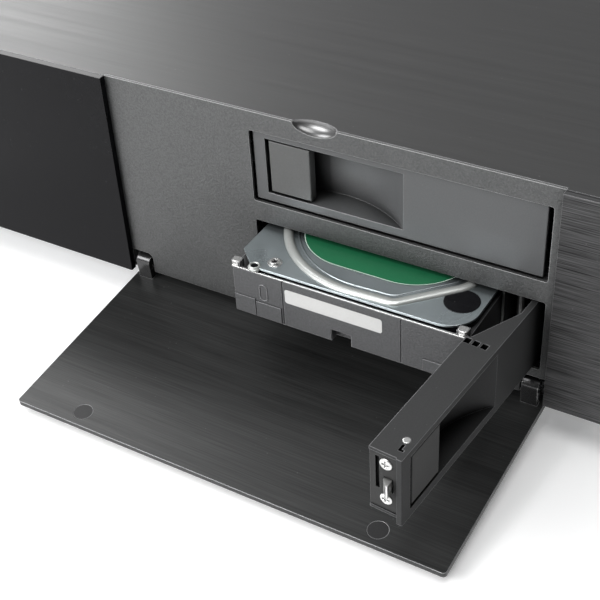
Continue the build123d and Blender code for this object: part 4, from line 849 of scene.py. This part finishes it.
def scoop_liner():
    """The bright cut face of the scoop for a fingertip, in the top front edge."""
    work = Work(case)
    shells = []
    for scale in SCOOP_SHELLS:
        rings = []
        for i in range(SCOOP_RINGS):
            along = math.pi * (i + SCOOP_END) / (SCOOP_RINGS - 1 + 2 * SCOOP_END)
            reach = SCOOP_REACH * math.sin(along) * scale
            x = SCOOP_MIDDLE - SCOOP_HALF * math.cos(along) * scale
            ring = []
            for degrees in range(0, 91, 10):
                down = math.radians(degrees)
                ring.append((x, reach * math.sin(down), front_height - reach * math.cos(down)))
            rings.append(ring)
        shells.append(rings)
    outer, inner = shells
    work.loft([out + inn[::-1] for out, inn in zip(outer, inner)])
    work.done("finger_scoop_liner", "chassis", "cover_paint", "scoop_bright", smooth=50.0)


scoop_liner()


# ---------------------------------------------------------------- bay guides: painted highlight strips
# A thin bright strip on each black guide's front edge: painted highlight.
GUIDE_EDGE_X, GUIDE_EDGE_Y, GUIDE_EDGE_Z = (175.25, 176.15), (4.8, 5.2), (4.6, 28.2)
GUIDE_EDGE_RADIUS = 0.15

for bay, up in bays.items():
    guide_highlight_strip = Work(case)
    outline = frame_outline(GUIDE_EDGE_X, GUIDE_EDGE_Y, GUIDE_EDGE_RADIUS, steps=3)
    guide_highlight_strip.plate(outline, up + GUIDE_EDGE_Z[0], up + GUIDE_EDGE_Z[1])
    guide_highlight_strip.done(f"{bay}_guide_front_highlight_strip", "chassis", "guide_plastic", "highlight_steel")


# ---------------------------------------------------------------- back panel
# A screw's size is its radius and height.
PANEL_SCREW_X, PANEL_SCREW_Z, PANEL_SCREW_SIZE = (-197.0, -62.0, 76.0, 218.0), (7.0, 92.0), (2.9, 1.2)
INLET_SCREW_X, INLET_SCREW_Z, INLET_FLANGE, INLET_SCREW_SIZE = (168.6, 207.4), 34.0, 2.5, (2.4, 1.0)
CONTACTS, CONTACT_FIRST, CONTACT_PITCH = 8, -4.4, 1.27
CONTACT_HALF_WIDTH, CONTACT_HALF_SHEET = 0.25, 0.15
CONTACT_BENDS = ((283.5, 14.0), (296.0, 13.6), (298.5, 12.0))
PHONO_X, PHONO_Z = (-150.0, -132.0, -114.0), 17.8
SLEEVE_PROFILE = [(5.6, 0.0), (5.6, 1.2), (5.2, 1.6), (4.3, 1.6), (4.3, 0.0)]


def dress_back():
    """Screws around the back panel and on the inlet's ears, and what lines the sockets."""
    facing = spot(along_case((0.0, case_depth, 0.0)), (-1, 0, 0), (0, 1, 0))
    heads = Work(facing)
    for x in PANEL_SCREW_X:
        for z in PANEL_SCREW_Z:
            cross_screw(heads, (-x, z, 0.0), *PANEL_SCREW_SIZE)
    for x in INLET_SCREW_X:
        cross_screw(heads, (-x, INLET_SCREW_Z, INLET_FLANGE), *INLET_SCREW_SIZE)
    heads.done("rear_panel_screws", "chassis", "screw_black", smooth=40.0)

    wide, thick = CONTACT_HALF_WIDTH, CONTACT_HALF_SHEET
    section = ((-wide, -thick), (wide, -thick), (wide, thick), (-wide, thick))
    contacts = Work(case)
    for i in range(CONTACTS):
        x = CONTACT_FIRST + i * CONTACT_PITCH
        contacts.loft([[(x + dx, y, z + dz) for dx, dz in section] for y, z in CONTACT_BENDS])
    contacts.done("network_socket_contacts", "chassis", "port_metal", "gold_contact")

    sleeves = Work(facing)
    for x in PHONO_X:
        sleeves.turned(SLEEVE_PROFILE, (-x, PHONO_Z, 0.0), sides=40)
    sleeves.done("phono_socket_sleeves", "chassis", "port_metal", "cap_black")


dress_back()


# ---------------------------------------------------------------- stage, lights, camera
FLOOR_RADIUS, FLOOR_DEPTH, FLOOR_DROP = 9000.0, 20.0, 0.02
FLOOR_GLOW = 0.22
WORLD_TINT = (0.93, 0.94, 0.96, 1.0)
WORLD_TURN = (-0.6, 0.5)
WORLD_LEFT, WORLD_RIGHT, WORLD_SEEN = 0.42, 0.06, 0.85
CAMERA_PLACE = (0.303158, -0.460721, 0.360698)
CAMERA_FORWARD = Vector((-0.4509378, 0.6170754, -0.6448822))
CAMERA_RIGHT = Vector((0.84341279, 0.53102855, -0.0816305))


def softbox(name, place, aim, size, power):
    """A soft rectangular light in metres and watts, turned towards its aim."""
    data = bpy.data.lights.new(name, "AREA")
    data.shape = "RECTANGLE"
    data.size, data.size_y = size
    data.energy = power
    lamp = bpy.data.objects.new(name, data)
    lamp.location = place
    lamp.rotation_euler = (Vector(aim) - Vector(place)).to_track_quat("-Z", "Y").to_euler()
    bpy.context.scene.collection.objects.link(lamp)


softbox("back left softbox", (-1.75, 1.25, 1.05), (0.0, -0.05, 0.1), (0.9, 1.0), 20.0)
softbox("high left softbox", (-1.3, 0.62, 1.55), (0.0, -0.1, 0.05), (0.7, 0.7), 12.0)
softbox("front left softbox", (-0.9, -1.5, 1.15), (0.0, -0.1, 0.05), (1.2, 1.0), 36.0)
softbox("overhead softbox", (0.15, -0.5, 2.2), (0.1, -0.15, 0.0), (1.4, 1.4), 26.0)

floor = Work(spot((0.0, 0.0, 0.0)))
floor.plate(arc((0.0, 0.0), FLOOR_RADIUS, 0.0, 357.0, steps=119), -FLOOR_DEPTH, -FLOOR_DROP)
bmesh.ops.recalc_face_normals(floor.mesh, faces=floor.mesh.faces)
floor_data = bpy.data.meshes.new("pale_floor")
floor.mesh.transform(floor.place)
floor.mesh.to_mesh(floor_data)
pale_floor = bpy.data.objects.new("pale_floor", floor_data)
bpy.context.scene.collection.objects.link(pale_floor)
floor_finish = finish("pale floor", (0.9, 0.9, 0.9), (0.92, 0.92, 0.92), (0.7, 0.8), grain=0.01, marks=0.0)
floor_shader = next(n for n in floor_finish.node_tree.nodes if n.type == "BSDF_PRINCIPLED")
floor_shader.inputs["Emission Color"].default_value = (1.0, 1.0, 1.0, 1.0)
floor_shader.inputs["Emission Strength"].default_value = FLOOR_GLOW
floor_data.materials.append(floor_finish)

world = bpy.data.worlds.new("studio")
bpy.context.scene.world = world
world.use_nodes = True
studio = world.node_tree
backdrop = studio.nodes["Background"]
direction = wire(studio, "ShaderNodeTexCoord").outputs["Generated"]
sideways = wire(studio, "ShaderNodeSeparateXYZ", {0: direction}).outputs["X"]
glow = spread(studio, sideways, *WORLD_TURN, WORLD_LEFT, WORLD_RIGHT)
seen = wire(studio, "ShaderNodeLightPath").outputs["Is Camera Ray"]
strength = wire(studio, "ShaderNodeMix", {0: seen, 2: glow, 3: WORLD_SEEN}).outputs[0]
studio.links.new(strength, backdrop.inputs["Strength"])
backdrop.inputs["Color"].default_value = WORLD_TINT
bpy.context.scene.view_settings.view_transform = "Standard"

camera_data = bpy.data.cameras.new("photo camera")
camera_data.sensor_width = 36.0
camera_data.lens = 76.161
camera_data.shift_x, camera_data.shift_y = 0.1, 0.075
camera_data.clip_start = 0.02
camera = bpy.data.objects.new("photo camera", camera_data)
axes = Matrix((CAMERA_RIGHT, CAMERA_RIGHT.cross(CAMERA_FORWARD), -CAMERA_FORWARD)).transposed()
camera.matrix_world = Matrix.Translation(CAMERA_PLACE) @ axes.to_4x4()
bpy.context.scene.collection.objects.link(camera)
bpy.context.scene.camera = camera
